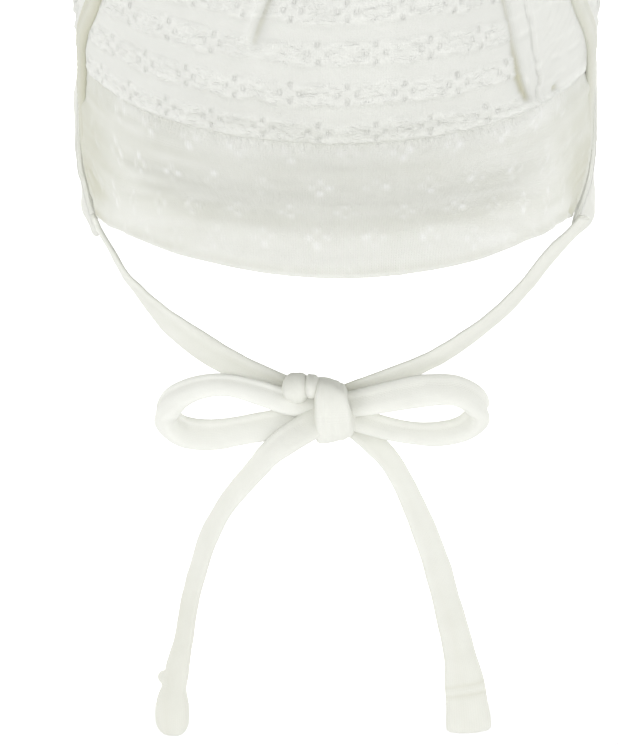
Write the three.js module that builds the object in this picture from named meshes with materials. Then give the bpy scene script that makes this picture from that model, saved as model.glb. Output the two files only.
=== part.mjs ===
// Baby sun hat: pointelle jersey crown, doubled front visor, short neck flap,
// a rolled band over the sides and two flat ties knotted in a bow.
// Millimetres, +Z up. The face side is -Y. The origin is the centre of the head
// opening, level with the crown seam.
import * as THREE from 'three';

// ---------- named sizes ----------
const DEG = Math.PI / 180;
const GAP = 0.35; // clearance between neighbouring pieces
const CLOTH = { crown: 1.4, visor: 2.4, flap: 2.0 }; // wall thicknesses
const SEAM = { halfWidth: 66.6, front: 75, back: 79 }; // head opening at the crown seam
const VISOR_END = 73.2; // azimuth of the visor's side edges
const FLAP_START = 78.8; // azimuth of the flap's front edges
const FLAP_CORNER = 6; // radius of the flap's lower front corners
const BAND = { width: 6.4, thick: 2.3, azimuth: 76, low: -44, archY: -36, leanTo: 0.26, steps: 56 };
const SMALL_STEP = 1e-3;

const COLOURS = { crown: '#ecede6', visor: '#e2e4dc', flap: '#e6e7df', band: '#e6e6da', tie: '#edeee7' };
const CLOTH_ROUGHNESS = 0.95;

// ---------- crown: horizontal sections from the seam (u = 0) to the top (u = 1) ----------
const CROWN_SECTIONS = [
  { u: 0.00, z: 0.0, halfWidth: 66.6, front: 75.0, back: 79.0 },
  { u: 0.06, z: 6.0, halfWidth: 67.4, front: 77.3, back: 81.0 },
  { u: 0.14, z: 15.0, halfWidth: 67.8, front: 78.4, back: 82.5 },
  { u: 0.26, z: 30.0, halfWidth: 66.6, front: 77.6, back: 83.0 },
  { u: 0.38, z: 45.0, halfWidth: 63.6, front: 74.2, back: 81.0 },
  { u: 0.50, z: 60.0, halfWidth: 58.5, front: 68.0, back: 75.5 },
  { u: 0.63, z: 75.0, halfWidth: 50.0, front: 57.8, back: 65.0 },
  { u: 0.77, z: 87.5, halfWidth: 37.0, front: 42.6, back: 48.5 },
  { u: 0.90, z: 95.5, halfWidth: 18.8, front: 21.5, back: 24.5 },
  { u: 1.00, z: 98.0, halfWidth: 0.0, front: 0.0, back: 0.0 },
];
// Folds of the crown cloth. azimuth is where the fold would meet the seam, lean is
// its turn for a unit of u, rise is outward (a valley is negative), from/to are its ends in u.
const CROWN_FOLDS = [
  { name: 'left tuck ridge', azimuth: -24.0, lean: 20, halfWidth: 1.9, rise: 2.4, from: 0.20, to: 0.66, ends: 0.05 },
  { name: 'left tuck shadow', azimuth: -28.4, lean: 20, halfWidth: 2.2, rise: -1.5, from: 0.20, to: 0.66, ends: 0.06 },
  { name: 'left tuck far shadow', azimuth: -19.6, lean: 20, halfWidth: 2.2, rise: -1.3, from: 0.20, to: 0.66, ends: 0.06 },
  { name: 'right fold valley', azimuth: 49.0, lean: -32, halfWidth: 2.6, rise: -4.2, from: -0.02, to: 0.70, ends: 0.09 },
  { name: 'right fold ridge', azimuth: 54.4, lean: -32, halfWidth: 3.0, rise: 2.2, from: 0.00, to: 0.70, ends: 0.10 },
  { name: 'right fold shoulder', azimuth: 43.0, lean: -32, halfWidth: 3.4, rise: 1.1, from: 0.03, to: 0.66, ends: 0.12 },
];
const GRID_LEAN = [
  { azimuth: -20, lean: 20, spread: 26 },
  { azimuth: 44, lean: -32, spread: 27 },
];
const CROWN_ROWS = 18;
const AZIMUTH_STEP = { plain: 7.2, folded: 1.9 };
const FOLDED_ZONES = [{ from: -31, to: -16 }, { from: 38, to: 59 }];

// ---------- visor: how far its edge stands forward of the seam and drops, by azimuth ----------
const VISOR_SECTIONS = [
  { azimuth: -25, forward: 30.5, drop: 21.6, turn: -7 },
  { azimuth: 0, forward: 36.5, drop: 20.2, turn: 0 },
  { azimuth: 25, forward: 30.5, drop: 21.6, turn: 7 },
  { azimuth: 45, forward: 17, drop: 26.2, turn: 14 },
  { azimuth: 58, forward: 6.5, drop: 31, turn: 25 },
  { azimuth: 66, forward: 2, drop: 36.5, turn: 40 },
  { azimuth: 74, forward: 0, drop: 42.5, turn: 60 },
];
// The visor from its seam to its hem: it slopes out, runs nearly level, then turns down at the hem.
const VISOR_PROFILE = [
  { s: 0, out: 0, down: 0 },
  { s: 0.16, out: 0.165, down: 0.19 },
  { s: 0.3, out: 0.3, down: 0.345 },
  { s: 0.54, out: 0.57, down: 0.465 },
  { s: 0.7, out: 0.745, down: 0.55 },
  { s: 0.8, out: 0.845, down: 0.64 },
  { s: 0.9, out: 0.925, down: 0.8 },
  { s: 1, out: 1, down: 1 },
];
// How the cloth at the sides swells out over the cheeks and draws in to the ties.
const SIDE_HANG = [
  { down: 0, out: 0 },
  { down: 15, out: 1.6 },
  { down: 30, out: 0.4 },
  { down: 46, out: -4.2 },
  { down: 60, out: -8.0 },
];
const SIDE_FROM = 52; // azimuths where the visor and the flap take up that hang
const SIDE_TO = 112;
const VISOR_GRID = { across: 34, down: 9 };

// ---------- neck flap: hang and flare by azimuth from the front ----------
const FLAP_SECTIONS = [
  { azimuth: 74, drop: 51.0, flare: 2.8 },
  { azimuth: 90, drop: 52.5, flare: 3.6 },
  { azimuth: 120, drop: 55.0, flare: 6.4 },
  { azimuth: 150, drop: 57.5, flare: 8.5 },
  { azimuth: 180, drop: 58.0, flare: 9.5 },
];
const FLAP_GRID = { around: 40, down: 6 };

// ---------- ties and bow: stations along each strip ----------
const TIE_LEFT = [
  { x: -61.6, y: -18.6, z: -46.4, width: 7.2, thick: 2.4, turn: 86 },
  { x: -58.2, y: -19.4, z: -52.6, width: 7.6, thick: 2.4, turn: 80 },
  { x: -54.4, y: -20.6, z: -58.8, width: 7.8, thick: 2.4, turn: 72 },
  { x: -49.8, y: -21.8, z: -64.2, width: 8.0, thick: 2.4, turn: 60 },
  { x: -44.0, y: -22.8, z: -71.2, width: 8.0, thick: 2.4, turn: 42 },
  { x: -37.0, y: -23.4, z: -77.6, width: 8.0, thick: 2.4, turn: 26 },
  { x: -28.8, y: -24.0, z: -82.2, width: 7.4, thick: 2.4, turn: 18 },
  { x: -20.0, y: -24.2, z: -86.0, width: 6.8, thick: 2.4, turn: 14 },
  { x: -9.9, y: -24.4, z: -89.8, width: 6.4, thick: 2.4, turn: 10 },
];
const TIE_RIGHT = [
  { x: 61.6, y: -18.6, z: -46.4, width: 7.2, thick: 2.4, turn: -80 },
  { x: 55.4, y: -20.0, z: -52.6, width: 7.4, thick: 2.4, turn: -76 },
  { x: 49.2, y: -21.2, z: -60.6, width: 7.6, thick: 2.4, turn: -72 },
  { x: 41.9, y: -22.4, z: -68.2, width: 7.8, thick: 2.4, turn: -68 },
  { x: 32.6, y: -23.4, z: -75.6, width: 7.8, thick: 2.4, turn: -62 },
  { x: 24.0, y: -24.0, z: -80.8, width: 7.6, thick: 2.4, turn: -56 },
  { x: 16.2, y: -24.4, z: -84.4, width: 7.2, thick: 2.4, turn: -50 },
  { x: 6.6, y: -24.4, z: -88.2, width: 6.8, thick: 2.4, turn: -40 },
];
const LOOP_LEFT = [
  { x: -9.4, y: -31, z: -88.6, width: 7.2, thick: 2.6 },
  { x: -19.3, y: -31, z: -87.6, width: 8.0, thick: 2.6 },
  { x: -29.0, y: -31, z: -85.4, width: 8.6, thick: 2.6 },
  { x: -37.2, y: -31, z: -86.4, width: 8.8, thick: 2.6 },
  { x: -43.4, y: -31, z: -89.8, width: 8.8, thick: 2.6 },
  { x: -44.4, y: -31, z: -94.2, width: 8.8, thick: 2.6 },
  { x: -40.0, y: -31, z: -97.4, width: 8.8, thick: 2.6 },
  { x: -33.0, y: -31, z: -98.2, width: 8.6, thick: 2.6 },
  { x: -22.0, y: -31, z: -96.2, width: 8.0, thick: 2.6 },
  { x: -9.6, y: -31, z: -93.6, width: 7.2, thick: 2.6 },
];
const LOOP_RIGHT = [
  { x: 6.6, y: -31, z: -88.8, width: 7.2, thick: 2.6 },
  { x: 14.4, y: -31, z: -86.6, width: 8.0, thick: 2.6 },
  { x: 23.5, y: -31, z: -85.3, width: 8.6, thick: 2.6 },
  { x: 31.4, y: -31, z: -85.6, width: 8.8, thick: 2.6 },
  { x: 36.8, y: -31, z: -88.6, width: 8.8, thick: 2.6 },
  { x: 37.8, y: -31, z: -92.4, width: 8.8, thick: 2.6 },
  { x: 34.0, y: -31, z: -95.6, width: 8.8, thick: 2.6 },
  { x: 27.0, y: -31, z: -97.4, width: 8.6, thick: 2.6 },
  { x: 17.6, y: -31, z: -96.8, width: 8.0, thick: 2.6 },
  { x: 6.8, y: -31, z: -94.2, width: 7.2, thick: 2.6 },
];
const LOOP_WIDTH_ALONG = [0, -0.9, -0.43]; // the loops' cloth leans forward and down
const TAIL_LEFT = [
  { x: -9.4, y: -27.6, z: -101.2, width: 5.4, thick: 2.4, turn: 20 },
  { x: -16.4, y: -27.4, z: -106.2, width: 5.6, thick: 2.4, turn: 30 },
  { x: -24.8, y: -27.0, z: -117.0, width: 5.8, thick: 2.4, turn: 40 },
  { x: -31.0, y: -26.6, z: -126.8, width: 6.2, thick: 2.4, turn: 48 },
  { x: -35.1, y: -26.2, z: -137.2, width: 6.4, thick: 2.4, turn: 52 },
  { x: -38.4, y: -26.0, z: -150.2, width: 6.6, thick: 2.4, turn: 54 },
  { x: -40.7, y: -26.0, z: -162.2, width: 6.6, thick: 2.4, turn: 54 },
  { x: -42.2, y: -26.0, z: -172.0, width: 7.4, thick: 3.0, turn: 40 },
  { x: -43.9, y: -26.0, z: -181.0, width: 8.4, thick: 5.0, turn: 22 },
  { x: -43.9, y: -26.0, z: -189.0, width: 6.2, thick: 4.2, turn: 18 },
];
const TAIL_RIGHT = [
  { x: 6.8, y: -27.6, z: -99.6, width: 5.4, thick: 2.4, turn: -14 },
  { x: 9.6, y: -27.6, z: -102.4, width: 5.4, thick: 2.4, turn: -14 },
  { x: 14.0, y: -27.6, z: -107.6, width: 5.4, thick: 2.4, turn: -18 },
  { x: 17.8, y: -27.4, z: -114.2, width: 5.8, thick: 2.4, turn: -20 },
  { x: 21.0, y: -27.2, z: -121.8, width: 6.6, thick: 2.4, turn: -20 },
  { x: 26.0, y: -26.8, z: -135.8, width: 7.4, thick: 2.4, turn: -20 },
  { x: 29.8, y: -26.4, z: -150.6, width: 7.8, thick: 2.4, turn: -18 },
  { x: 33.1, y: -26.0, z: -164.8, width: 8.8, thick: 2.6, turn: -14 },
  { x: 34.9, y: -26.0, z: -176.4, width: 10.6, thick: 3.6, turn: -6 },
  { x: 36.0, y: -26.0, z: -188.0, width: 10.4, thick: 3.6, turn: 0 },
];
const TIE_STEPS = { tie: 13, loop: 17, tail: 13 };
const KNOT = { x: -1.6, y: -29.4, z: -92.2, halfWidth: 6.9, halfDepth: 7.2, halfHeight: 8.4, around: 18, rings: 10, squareness: 0.72 };

// ---------- helpers ----------
const lerp = (a, b, t) => a + (b - a) * t;
const clamp = (v, lo, hi) => Math.min(hi, Math.max(lo, v));
const smooth = (a, b, v) => {
  const t = clamp((v - a) / (b - a), 0, 1);
  return t * t * (3 - 2 * t);
};
const vec = (x, y, z) => new THREE.Vector3(x, y, z);

// Smooth reading of a table's named column at a value of its key column.
function read(table, key, column, value) {
  const n = table.length;
  const v = clamp(value, table[0][key], table[n - 1][key]);
  let i = 0;
  while (i < n - 2 && v >= table[i + 1][key]) i += 1;
  const slope = (k) => (table[k + 1][column] - table[k][column]) / (table[k + 1][key] - table[k][key]);
  const tangent = (k) => {
    if (k === 0) return slope(0);
    if (k === n - 1) return 2 * slope(n - 2) - tangent(n - 2);
    const before = table[k][key] - table[k - 1][key];
    const after = table[k + 1][key] - table[k][key];
    return (slope(k) * before + slope(k - 1) * after) / (before + after);
  };
  const h = table[i + 1][key] - table[i][key];
  const t = (v - table[i][key]) / h;
  const t2 = t * t;
  const t3 = t2 * t;
  return (2 * t3 - 3 * t2 + 1) * table[i][column] + (t3 - 2 * t2 + t) * h * tangent(i)
    + (3 * t2 - 2 * t3) * table[i + 1][column] + (t3 - t2) * h * tangent(i + 1);
}

function meshFrom(name, points, triangles, colour) {
  let volume = 0;
  for (const [a, b, c] of triangles) {
    volume += points[a].dot(vec(0, 0, 0).crossVectors(points[b], points[c])) / 6;
  }
  const faces = volume < 0 ? triangles.map(([a, b, c]) => [a, c, b]) : triangles;
  const geometry = new THREE.BufferGeometry();
  geometry.setAttribute('position', new THREE.Float32BufferAttribute(points.flatMap((p) => [p.x, p.y, p.z]), 3));
  geometry.setIndex(faces.flat());
  geometry.computeVertexNormals();
  const material = new THREE.MeshStandardMaterial({ color: colour, roughness: CLOTH_ROUGHNESS, metalness: 0 });
  const mesh = new THREE.Mesh(geometry, material);
  mesh.name = name;
  return mesh;
}

// A cloth wall from a grid of outer points and one of inner points.
function wall(outer, inner) {
  const columns = outer.length;
  const rows = outer[0].length;
  const points = [...outer.flat(), ...inner.flat()];
  const offset = columns * rows;
  const at = (i, j) => i * rows + j;
  const triangles = [];
  const quad = (a, b, c, d) => triangles.push([a, b, c], [a, c, d]);
  for (let i = 0; i + 1 < columns; i += 1) {
    for (let j = 0; j + 1 < rows; j += 1) {
      quad(at(i, j), at(i + 1, j), at(i + 1, j + 1), at(i, j + 1));
      quad(offset + at(i, j), offset + at(i, j + 1), offset + at(i + 1, j + 1), offset + at(i + 1, j));
    }
    quad(at(i + 1, 0), at(i, 0), offset + at(i, 0), offset + at(i + 1, 0));
    quad(at(i, rows - 1), at(i + 1, rows - 1), offset + at(i + 1, rows - 1), offset + at(i, rows - 1));
  }
  for (let j = 0; j + 1 < rows; j += 1) {
    quad(at(0, j), at(0, j + 1), offset + at(0, j + 1), offset + at(0, j));
    quad(at(columns - 1, j + 1), at(columns - 1, j), offset + at(columns - 1, j), offset + at(columns - 1, j + 1));
  }
  return { points, triangles };
}

// ---------- crown ----------
function domePoint(azimuth, u) {
  const a = azimuth * DEG;
  const halfWidth = read(CROWN_SECTIONS, 'u', 'halfWidth', u);
  const depth = read(CROWN_SECTIONS, 'u', Math.cos(a) > 0 ? 'front' : 'back', u);
  return vec(halfWidth * Math.sin(a), -depth * Math.cos(a), read(CROWN_SECTIONS, 'u', 'z', u));
}
function domeNormal(azimuth, u) {
  if (u > 0.995) return vec(0, 0, 1);
  const along = domePoint(azimuth + 0.05, u).sub(domePoint(azimuth - 0.05, u));
  const up = domePoint(azimuth, Math.min(1, u + SMALL_STEP)).sub(domePoint(azimuth, Math.max(0, u - SMALL_STEP)));
  return vec(0, 0, 0).crossVectors(along, up).normalize();
}
function foldRise(azimuth, u) {
  let rise = 0;
  for (const fold of CROWN_FOLDS) {
    const across = (azimuth - (fold.azimuth + fold.lean * u)) / fold.halfWidth;
    const along = smooth(fold.from, fold.from + fold.ends, u) * (1 - smooth(fold.to - 2 * fold.ends, fold.to, u));
    rise += fold.rise * Math.exp(-across * across) * along;
  }
  return rise;
}
const crownPoint = (azimuth, u) => domePoint(azimuth, u).addScaledVector(domeNormal(azimuth, u), foldRise(azimuth, u));

function azimuthLines() {
  const lines = [];
  let a = -180;
  while (a < 180 - 0.4 * AZIMUTH_STEP.plain) {
    lines.push(a);
    const folded = FOLDED_ZONES.some((zone) => a >= zone.from - AZIMUTH_STEP.folded && a < zone.to);
    const nextZone = FOLDED_ZONES.find((zone) => a < zone.from - AZIMUTH_STEP.folded && a + AZIMUTH_STEP.plain > zone.from);
    a = folded ? a + AZIMUTH_STEP.folded : nextZone ? nextZone.from : a + AZIMUTH_STEP.plain;
  }
  return lines;
}
function leaned(azimuth, u) {
  let a = azimuth;
  for (const lean of GRID_LEAN) {
    const w = (azimuth - lean.azimuth) / lean.spread;
    a += lean.lean * Math.min(u, 0.7) * Math.exp(-w * w);
  }
  return a;
}
function crown() {
  const lines = azimuthLines();
  const points = [];
  const ring = (j, side) => lines.map((line) => {
    const u = j / CROWN_ROWS;
    const azimuth = leaned(line, u);
    const p = crownPoint(azimuth, u).addScaledVector(domeNormal(azimuth, u), -side * CLOTH.crown);
    if (j === 0) p.z = 0;
    p.z += GAP;
    return p;
  });
  const n = lines.length;
  for (const side of [0, 1]) {
    for (let j = 0; j < CROWN_ROWS; j += 1) points.push(...ring(j, side));
  }
  const height = CROWN_SECTIONS[CROWN_SECTIONS.length - 1].z + GAP;
  const topOuter = points.push(vec(0, 0, height)) - 1;
  const topInner = points.push(vec(0, 0, height - CLOTH.crown)) - 1;
  const at = (side, j, i) => (side * CROWN_ROWS + j) * n + (i % n);
  const triangles = [];
  for (let i = 0; i < n; i += 1) {
    for (let j = 0; j + 1 < CROWN_ROWS; j += 1) {
      triangles.push([at(0, j, i), at(0, j, i + 1), at(0, j + 1, i + 1)], [at(0, j, i), at(0, j + 1, i + 1), at(0, j + 1, i)]);
      triangles.push([at(1, j, i), at(1, j + 1, i + 1), at(1, j, i + 1)], [at(1, j, i), at(1, j + 1, i), at(1, j + 1, i + 1)]);
    }
    const last = CROWN_ROWS - 1;
    triangles.push([at(0, last, i), at(0, last, i + 1), topOuter], [at(1, last, i), topInner, at(1, last, i + 1)]);
    triangles.push([at(0, 0, i), at(1, 0, i), at(1, 0, i + 1)], [at(0, 0, i), at(1, 0, i + 1), at(0, 0, i + 1)]);
  }
  return meshFrom('crown', points, triangles, COLOURS.crown);
}

// ---------- visor and neck flap ----------
function seamPoint(azimuth) {
  const a = azimuth * DEG;
  const depth = Math.cos(a) > 0 ? SEAM.front : SEAM.back;
  return vec(SEAM.halfWidth * Math.sin(a), -depth * Math.cos(a), 0);
}
function seamOut(azimuth) {
  const a = azimuth * DEG;
  const depth = Math.cos(a) > 0 ? SEAM.front : SEAM.back;
  return vec(Math.sin(a) / SEAM.halfWidth, -Math.cos(a) / depth, 0).normalize();
}
function visorPoint(azimuth, s) {
  const away = Math.abs(azimuth);
  const forward = read(VISOR_SECTIONS, 'azimuth', 'forward', away);
  const drop = read(VISOR_SECTIONS, 'azimuth', 'drop', away);
  const turn = read(VISOR_SECTIONS, 'azimuth', 'turn', away) * DEG * Math.sign(azimuth);
  const arched = clamp(forward / 20, 0, 1); // the sides hang straight
  const out = lerp(s, read(VISOR_PROFILE, 's', 'out', s), arched) * forward;
  const down = lerp(s, read(VISOR_PROFILE, 's', 'down', s), arched) * drop;
  const hang = read(SIDE_HANG, 'down', 'out', down) * smooth(SIDE_FROM, FLAP_START, away);
  return seamPoint(azimuth).add(vec(Math.sin(turn) * out, -Math.cos(turn) * out, -down)).addScaledVector(seamOut(azimuth), hang);
}
function flapPoint(azimuth, s) {
  const away = Math.min(azimuth, 360 - azimuth);
  const edge = (away - FLAP_START) * DEG * (SEAM.halfWidth + SEAM.back) / 2;
  const inset = Math.max(0, FLAP_CORNER - edge);
  const corner = FLAP_CORNER - Math.sqrt(Math.max(0, FLAP_CORNER * FLAP_CORNER - inset * inset));
  const drop = (read(FLAP_SECTIONS, 'azimuth', 'drop', away) - 0.7 * corner) * s;
  const flare = read(FLAP_SECTIONS, 'azimuth', 'flare', away) * DEG * s;
  const hang = read(SIDE_HANG, 'down', 'out', drop);
  const out = lerp(hang, 0, smooth(FLAP_START, SIDE_TO, away)) + Math.sin(flare) * drop;
  return seamPoint(azimuth).addScaledVector(seamOut(azimuth), out).add(vec(0, 0, -drop));
}
function surfaceNormal(point, azimuth, s) {
  const along = point(azimuth + 0.05, s).sub(point(azimuth - 0.05, s));
  const down = point(azimuth, Math.min(1, s + SMALL_STEP)).sub(point(azimuth, Math.max(0, s - SMALL_STEP)));
  return vec(0, 0, 0).crossVectors(down, along).normalize();
}
function clothWall(name, point, from, to, grid, thickness, colour) {
  const columns = (side) => Array.from({ length: grid.across + 1 }, (_, i) => {
    const azimuth = lerp(from, to, i / grid.across);
    return Array.from({ length: grid.down + 1 }, (__, j) => {
      const s = j / grid.down;
      return point(azimuth, s).addScaledVector(surfaceNormal(point, azimuth, s), -side * thickness);
    });
  });
  const { points, triangles } = wall(columns(0), columns(1));
  return meshFrom(name, points, triangles, colour);
}

// ---------- band ----------
function bandStations() {
  const stations = [];
  const seat = GAP + BAND.thick / 2;
  const levels = 8;
  for (let k = 0; k <= levels; k += 1) { // up the gap between visor and flap
    const z = lerp(BAND.low, -3, k / levels);
    const out = seamOut(BAND.azimuth);
    const p = seamPoint(BAND.azimuth).addScaledVector(out, read(SIDE_HANG, 'down', 'out', -z));
    p.z = z;
    stations.push({ p: p.addScaledVector(out, lerp(-CLOTH.visor / 2, seat - CLOTH.visor / 2, smooth(-14, -3, z))), out });
  }
  const arch = 60;
  for (let k = 1; k <= arch; k += 1) { // over the crown, in front of its top
    const lowAzimuth = BAND.azimuth;
    const t = k / arch;
    const azimuth = lowAzimuth * Math.cos(t * Math.PI / 2);
    let lo = 0.02;
    let hi = 0.995;
    for (let step = 0; step < 40; step += 1) { // the height where the arch's plane cuts this azimuth
      const u = (lo + hi) / 2;
      const plane = lerp(-SEAM.front * Math.cos(lowAzimuth * DEG), BAND.archY, smooth(0, BAND.leanTo, u));
      if (domePoint(azimuth, u).y < plane) lo = u; else hi = u;
    }
    const out = domeNormal(azimuth, lo);
    stations.push({ p: domePoint(azimuth, lo).addScaledVector(out, GAP + seat).add(vec(0, 0, GAP)), out });
  }
  return stations;
}
function band() {
  const half = bandStations();
  const mirrored = half.slice(0, -1).reverse().map(({ p, out }) => ({ p: vec(-p.x, p.y, p.z), out: vec(-out.x, out.y, out.z) }));
  const all = [...half, ...mirrored];
  const curve = new THREE.CatmullRomCurve3(all.map(({ p }) => p), false, 'centripetal');
  const outs = new THREE.CatmullRomCurve3(all.map(({ out }) => out.clone().multiplyScalar(100)), false, 'centripetal');
  const frames = [];
  for (let k = 0; k <= BAND.steps; k += 1) {
    const t = curve.getUtoTmapping(k / BAND.steps);
    const tangent = curve.getTangent(t).normalize();
    const out = outs.getPoint(t);
    const face = out.addScaledVector(tangent, -out.dot(tangent)).normalize();
    frames.push({ p: curve.getPoint(t), across: vec(0, 0, 0).crossVectors(tangent, face), face, width: BAND.width, thick: BAND.thick });
  }
  return strip('seam_band', frames, COLOURS.band);
}

// ---------- strips of cloth ----------
// Eight-sided flat section with eased corners.
function strip(name, frames, colour) {
  const points = [];
  for (const { p, across, face, width, thick } of frames) {
    const w = width / 2;
    const t = thick / 2;
    const ease = t * 0.55;
    for (const [a, b] of [[w, -ease], [w, ease], [w - ease, t], [-w + ease, t], [-w, ease], [-w, -ease], [-w + ease, -t], [w - ease, -t]]) {
      points.push(p.clone().addScaledVector(across, a).addScaledVector(face, b));
    }
  }
  const sides = 8;
  const triangles = [];
  for (let k = 0; k + 1 < frames.length; k += 1) {
    for (let i = 0; i < sides; i += 1) {
      const [a, b] = [k * sides + i, k * sides + ((i + 1) % sides)];
      triangles.push([a, b, b + sides], [a, b + sides, a + sides]);
    }
  }
  const last = (frames.length - 1) * sides;
  for (let i = 1; i + 1 < sides; i += 1) {
    triangles.push([0, i + 1, i], [last, last + i, last + i + 1]);
  }
  return meshFrom(name, points, triangles, colour);
}
function stripAlong(name, table, steps, widthAlong) {
  const curve = new THREE.CatmullRomCurve3(table.map((row) => vec(row.x, row.y, row.z)), false, 'centripetal');
  const rows = table.map((row, index) => ({ index, turn: 0, ...row }));
  const frames = [];
  for (let k = 0; k <= steps; k += 1) {
    const t = curve.getUtoTmapping(k / steps);
    const at = t * (table.length - 1);
    const tangent = curve.getTangent(t).normalize();
    let across;
    if (widthAlong) {
      across = vec(...widthAlong);
      across.addScaledVector(tangent, -across.dot(tangent)).normalize();
    } else {
      across = vec(0, 0, 0).crossVectors(vec(0, -1, 0), tangent).normalize();
      across.applyAxisAngle(tangent, read(rows, 'index', 'turn', at) * DEG);
    }
    frames.push({
      p: curve.getPoint(t), across, face: vec(0, 0, 0).crossVectors(across, tangent).normalize(),
      width: read(rows, 'index', 'width', at), thick: read(rows, 'index', 'thick', at),
    });
  }
  return strip(name, frames, COLOURS.tie);
}
function knot() {
  const power = (v) => Math.sign(v) * Math.abs(v) ** KNOT.squareness;
  const points = [vec(KNOT.x, KNOT.y, KNOT.z - KNOT.halfHeight)];
  for (let j = 1; j < KNOT.rings; j += 1) {
    const polar = Math.PI * (j / KNOT.rings - 0.5);
    for (let i = 0; i < KNOT.around; i += 1) {
      const a = 2 * Math.PI * i / KNOT.around;
      points.push(vec(
        KNOT.x + KNOT.halfWidth * power(Math.cos(polar)) * power(Math.cos(a)),
        KNOT.y + KNOT.halfDepth * power(Math.cos(polar)) * power(Math.sin(a)),
        KNOT.z + KNOT.halfHeight * power(Math.sin(polar)),
      ));
    }
  }
  const top = points.push(vec(KNOT.x, KNOT.y, KNOT.z + KNOT.halfHeight)) - 1;
  const at = (j, i) => 1 + (j - 1) * KNOT.around + (i % KNOT.around);
  const triangles = [];
  for (let i = 0; i < KNOT.around; i += 1) {
    triangles.push([0, at(1, i + 1), at(1, i)], [top, at(KNOT.rings - 1, i), at(KNOT.rings - 1, i + 1)]);
    for (let j = 1; j + 1 < KNOT.rings; j += 1) {
      triangles.push([at(j, i), at(j, i + 1), at(j + 1, i + 1)], [at(j, i), at(j + 1, i + 1), at(j + 1, i)]);
    }
  }
  return meshFrom('bow_knot', points, triangles, COLOURS.tie);
}

// ---------- assembly ----------
const hat = new THREE.Group();
hat.name = 'baby_sun_hat';
hat.add(
  crown(),
  clothWall('visor', visorPoint, -VISOR_END, VISOR_END, VISOR_GRID, CLOTH.visor, COLOURS.visor),
  clothWall('neck_flap', flapPoint, FLAP_START, 360 - FLAP_START, { across: FLAP_GRID.around, down: FLAP_GRID.down }, CLOTH.flap, COLOURS.flap),
  band(),
  stripAlong('tie_left', TIE_LEFT, TIE_STEPS.tie),
  stripAlong('tie_right', TIE_RIGHT, TIE_STEPS.tie),
  stripAlong('bow_loop_left', LOOP_LEFT, TIE_STEPS.loop, LOOP_WIDTH_ALONG),
  stripAlong('bow_loop_right', LOOP_RIGHT, TIE_STEPS.loop, LOOP_WIDTH_ALONG),
  knot(),
  stripAlong('tie_tail_left', TAIL_LEFT, TIE_STEPS.tail),
  stripAlong('tie_tail_right', TAIL_RIGHT, TIE_STEPS.tail),
);
export default hat;
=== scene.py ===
# Baby sun hat in pointelle jersey: domed crown, doubled front visor, neck flap,
# a rolled band over the sides and flat ties knotted in a bow.
# The tables are in millimetres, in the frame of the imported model, and the meshes in metres.
import math
import bpy
import numpy as np
from mathutils import Matrix, Vector


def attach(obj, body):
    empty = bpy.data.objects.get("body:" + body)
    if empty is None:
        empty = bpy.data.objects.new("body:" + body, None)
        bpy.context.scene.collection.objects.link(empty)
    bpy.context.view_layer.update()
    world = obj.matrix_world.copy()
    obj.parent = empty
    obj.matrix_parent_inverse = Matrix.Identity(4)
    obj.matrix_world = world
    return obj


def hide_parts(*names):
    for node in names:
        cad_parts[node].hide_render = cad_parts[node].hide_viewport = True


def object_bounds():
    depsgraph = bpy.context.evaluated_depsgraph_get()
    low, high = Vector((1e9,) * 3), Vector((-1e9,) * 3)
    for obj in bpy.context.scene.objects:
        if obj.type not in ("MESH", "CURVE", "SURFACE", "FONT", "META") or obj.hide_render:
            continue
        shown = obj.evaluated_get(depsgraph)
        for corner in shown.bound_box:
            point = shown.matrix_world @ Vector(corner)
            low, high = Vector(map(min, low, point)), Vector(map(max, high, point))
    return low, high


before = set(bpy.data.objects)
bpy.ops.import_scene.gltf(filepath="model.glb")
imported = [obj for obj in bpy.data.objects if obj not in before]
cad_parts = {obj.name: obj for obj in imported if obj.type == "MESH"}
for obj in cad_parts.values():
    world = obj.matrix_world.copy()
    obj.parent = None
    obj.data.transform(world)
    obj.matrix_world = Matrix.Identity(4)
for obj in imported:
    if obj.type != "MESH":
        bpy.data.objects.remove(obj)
CAD_LOW, CAD_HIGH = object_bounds()
MM = 0.001
DEG = math.pi / 180

# ------------------------------------------------------------------ camera
IMAGE = (618, 745)
VIEW = dict(elevation=20.5, distance=1.5, per_pixel=0.00026, origin_at=(336.5, 39.0))


def make_camera():
    e, d = VIEW["elevation"] * DEG, VIEW["distance"]
    focal = d / VIEW["per_pixel"]  # in pixels
    eye = np.array([0.0, -d * math.cos(e), d * math.sin(e)])
    yaw = pitch = 0.0
    for _ in range(60):
        ahead = np.array([math.sin(yaw) * math.cos(pitch), math.cos(yaw) * math.cos(pitch), math.sin(pitch)])
        right = np.cross(ahead, [0, 0, 1])
        right /= np.linalg.norm(right)
        up = np.cross(right, ahead)
        x = IMAGE[0] / 2 + focal * (-eye @ right) / (-eye @ ahead)
        y = IMAGE[1] / 2 - focal * (-eye @ up) / (-eye @ ahead)
        yaw -= (VIEW["origin_at"][0] - x) / focal
        pitch += (VIEW["origin_at"][1] - y) / focal
    data = bpy.data.cameras.new("camera")
    data.sensor_width = 36.0
    data.lens = focal * 36.0 / max(IMAGE)
    data.clip_end = 60.0
    camera = bpy.data.objects.new("camera", data)
    bpy.context.scene.collection.objects.link(camera)
    m = Matrix.Identity(4)
    for row in range(3):
        m[row][0], m[row][1], m[row][2], m[row][3] = right[row], up[row], -ahead[row], eye[row]
    camera.matrix_world = m
    bpy.context.scene.camera = camera


make_camera()


# ------------------------------------------------------------------ helpers
def clamp(v, lo, hi):
    return np.minimum(hi, np.maximum(lo, v))


def smooth(a, b, v):
    t = clamp((v - a) / (b - a), 0.0, 1.0)
    return t * t * (3 - 2 * t)


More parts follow.
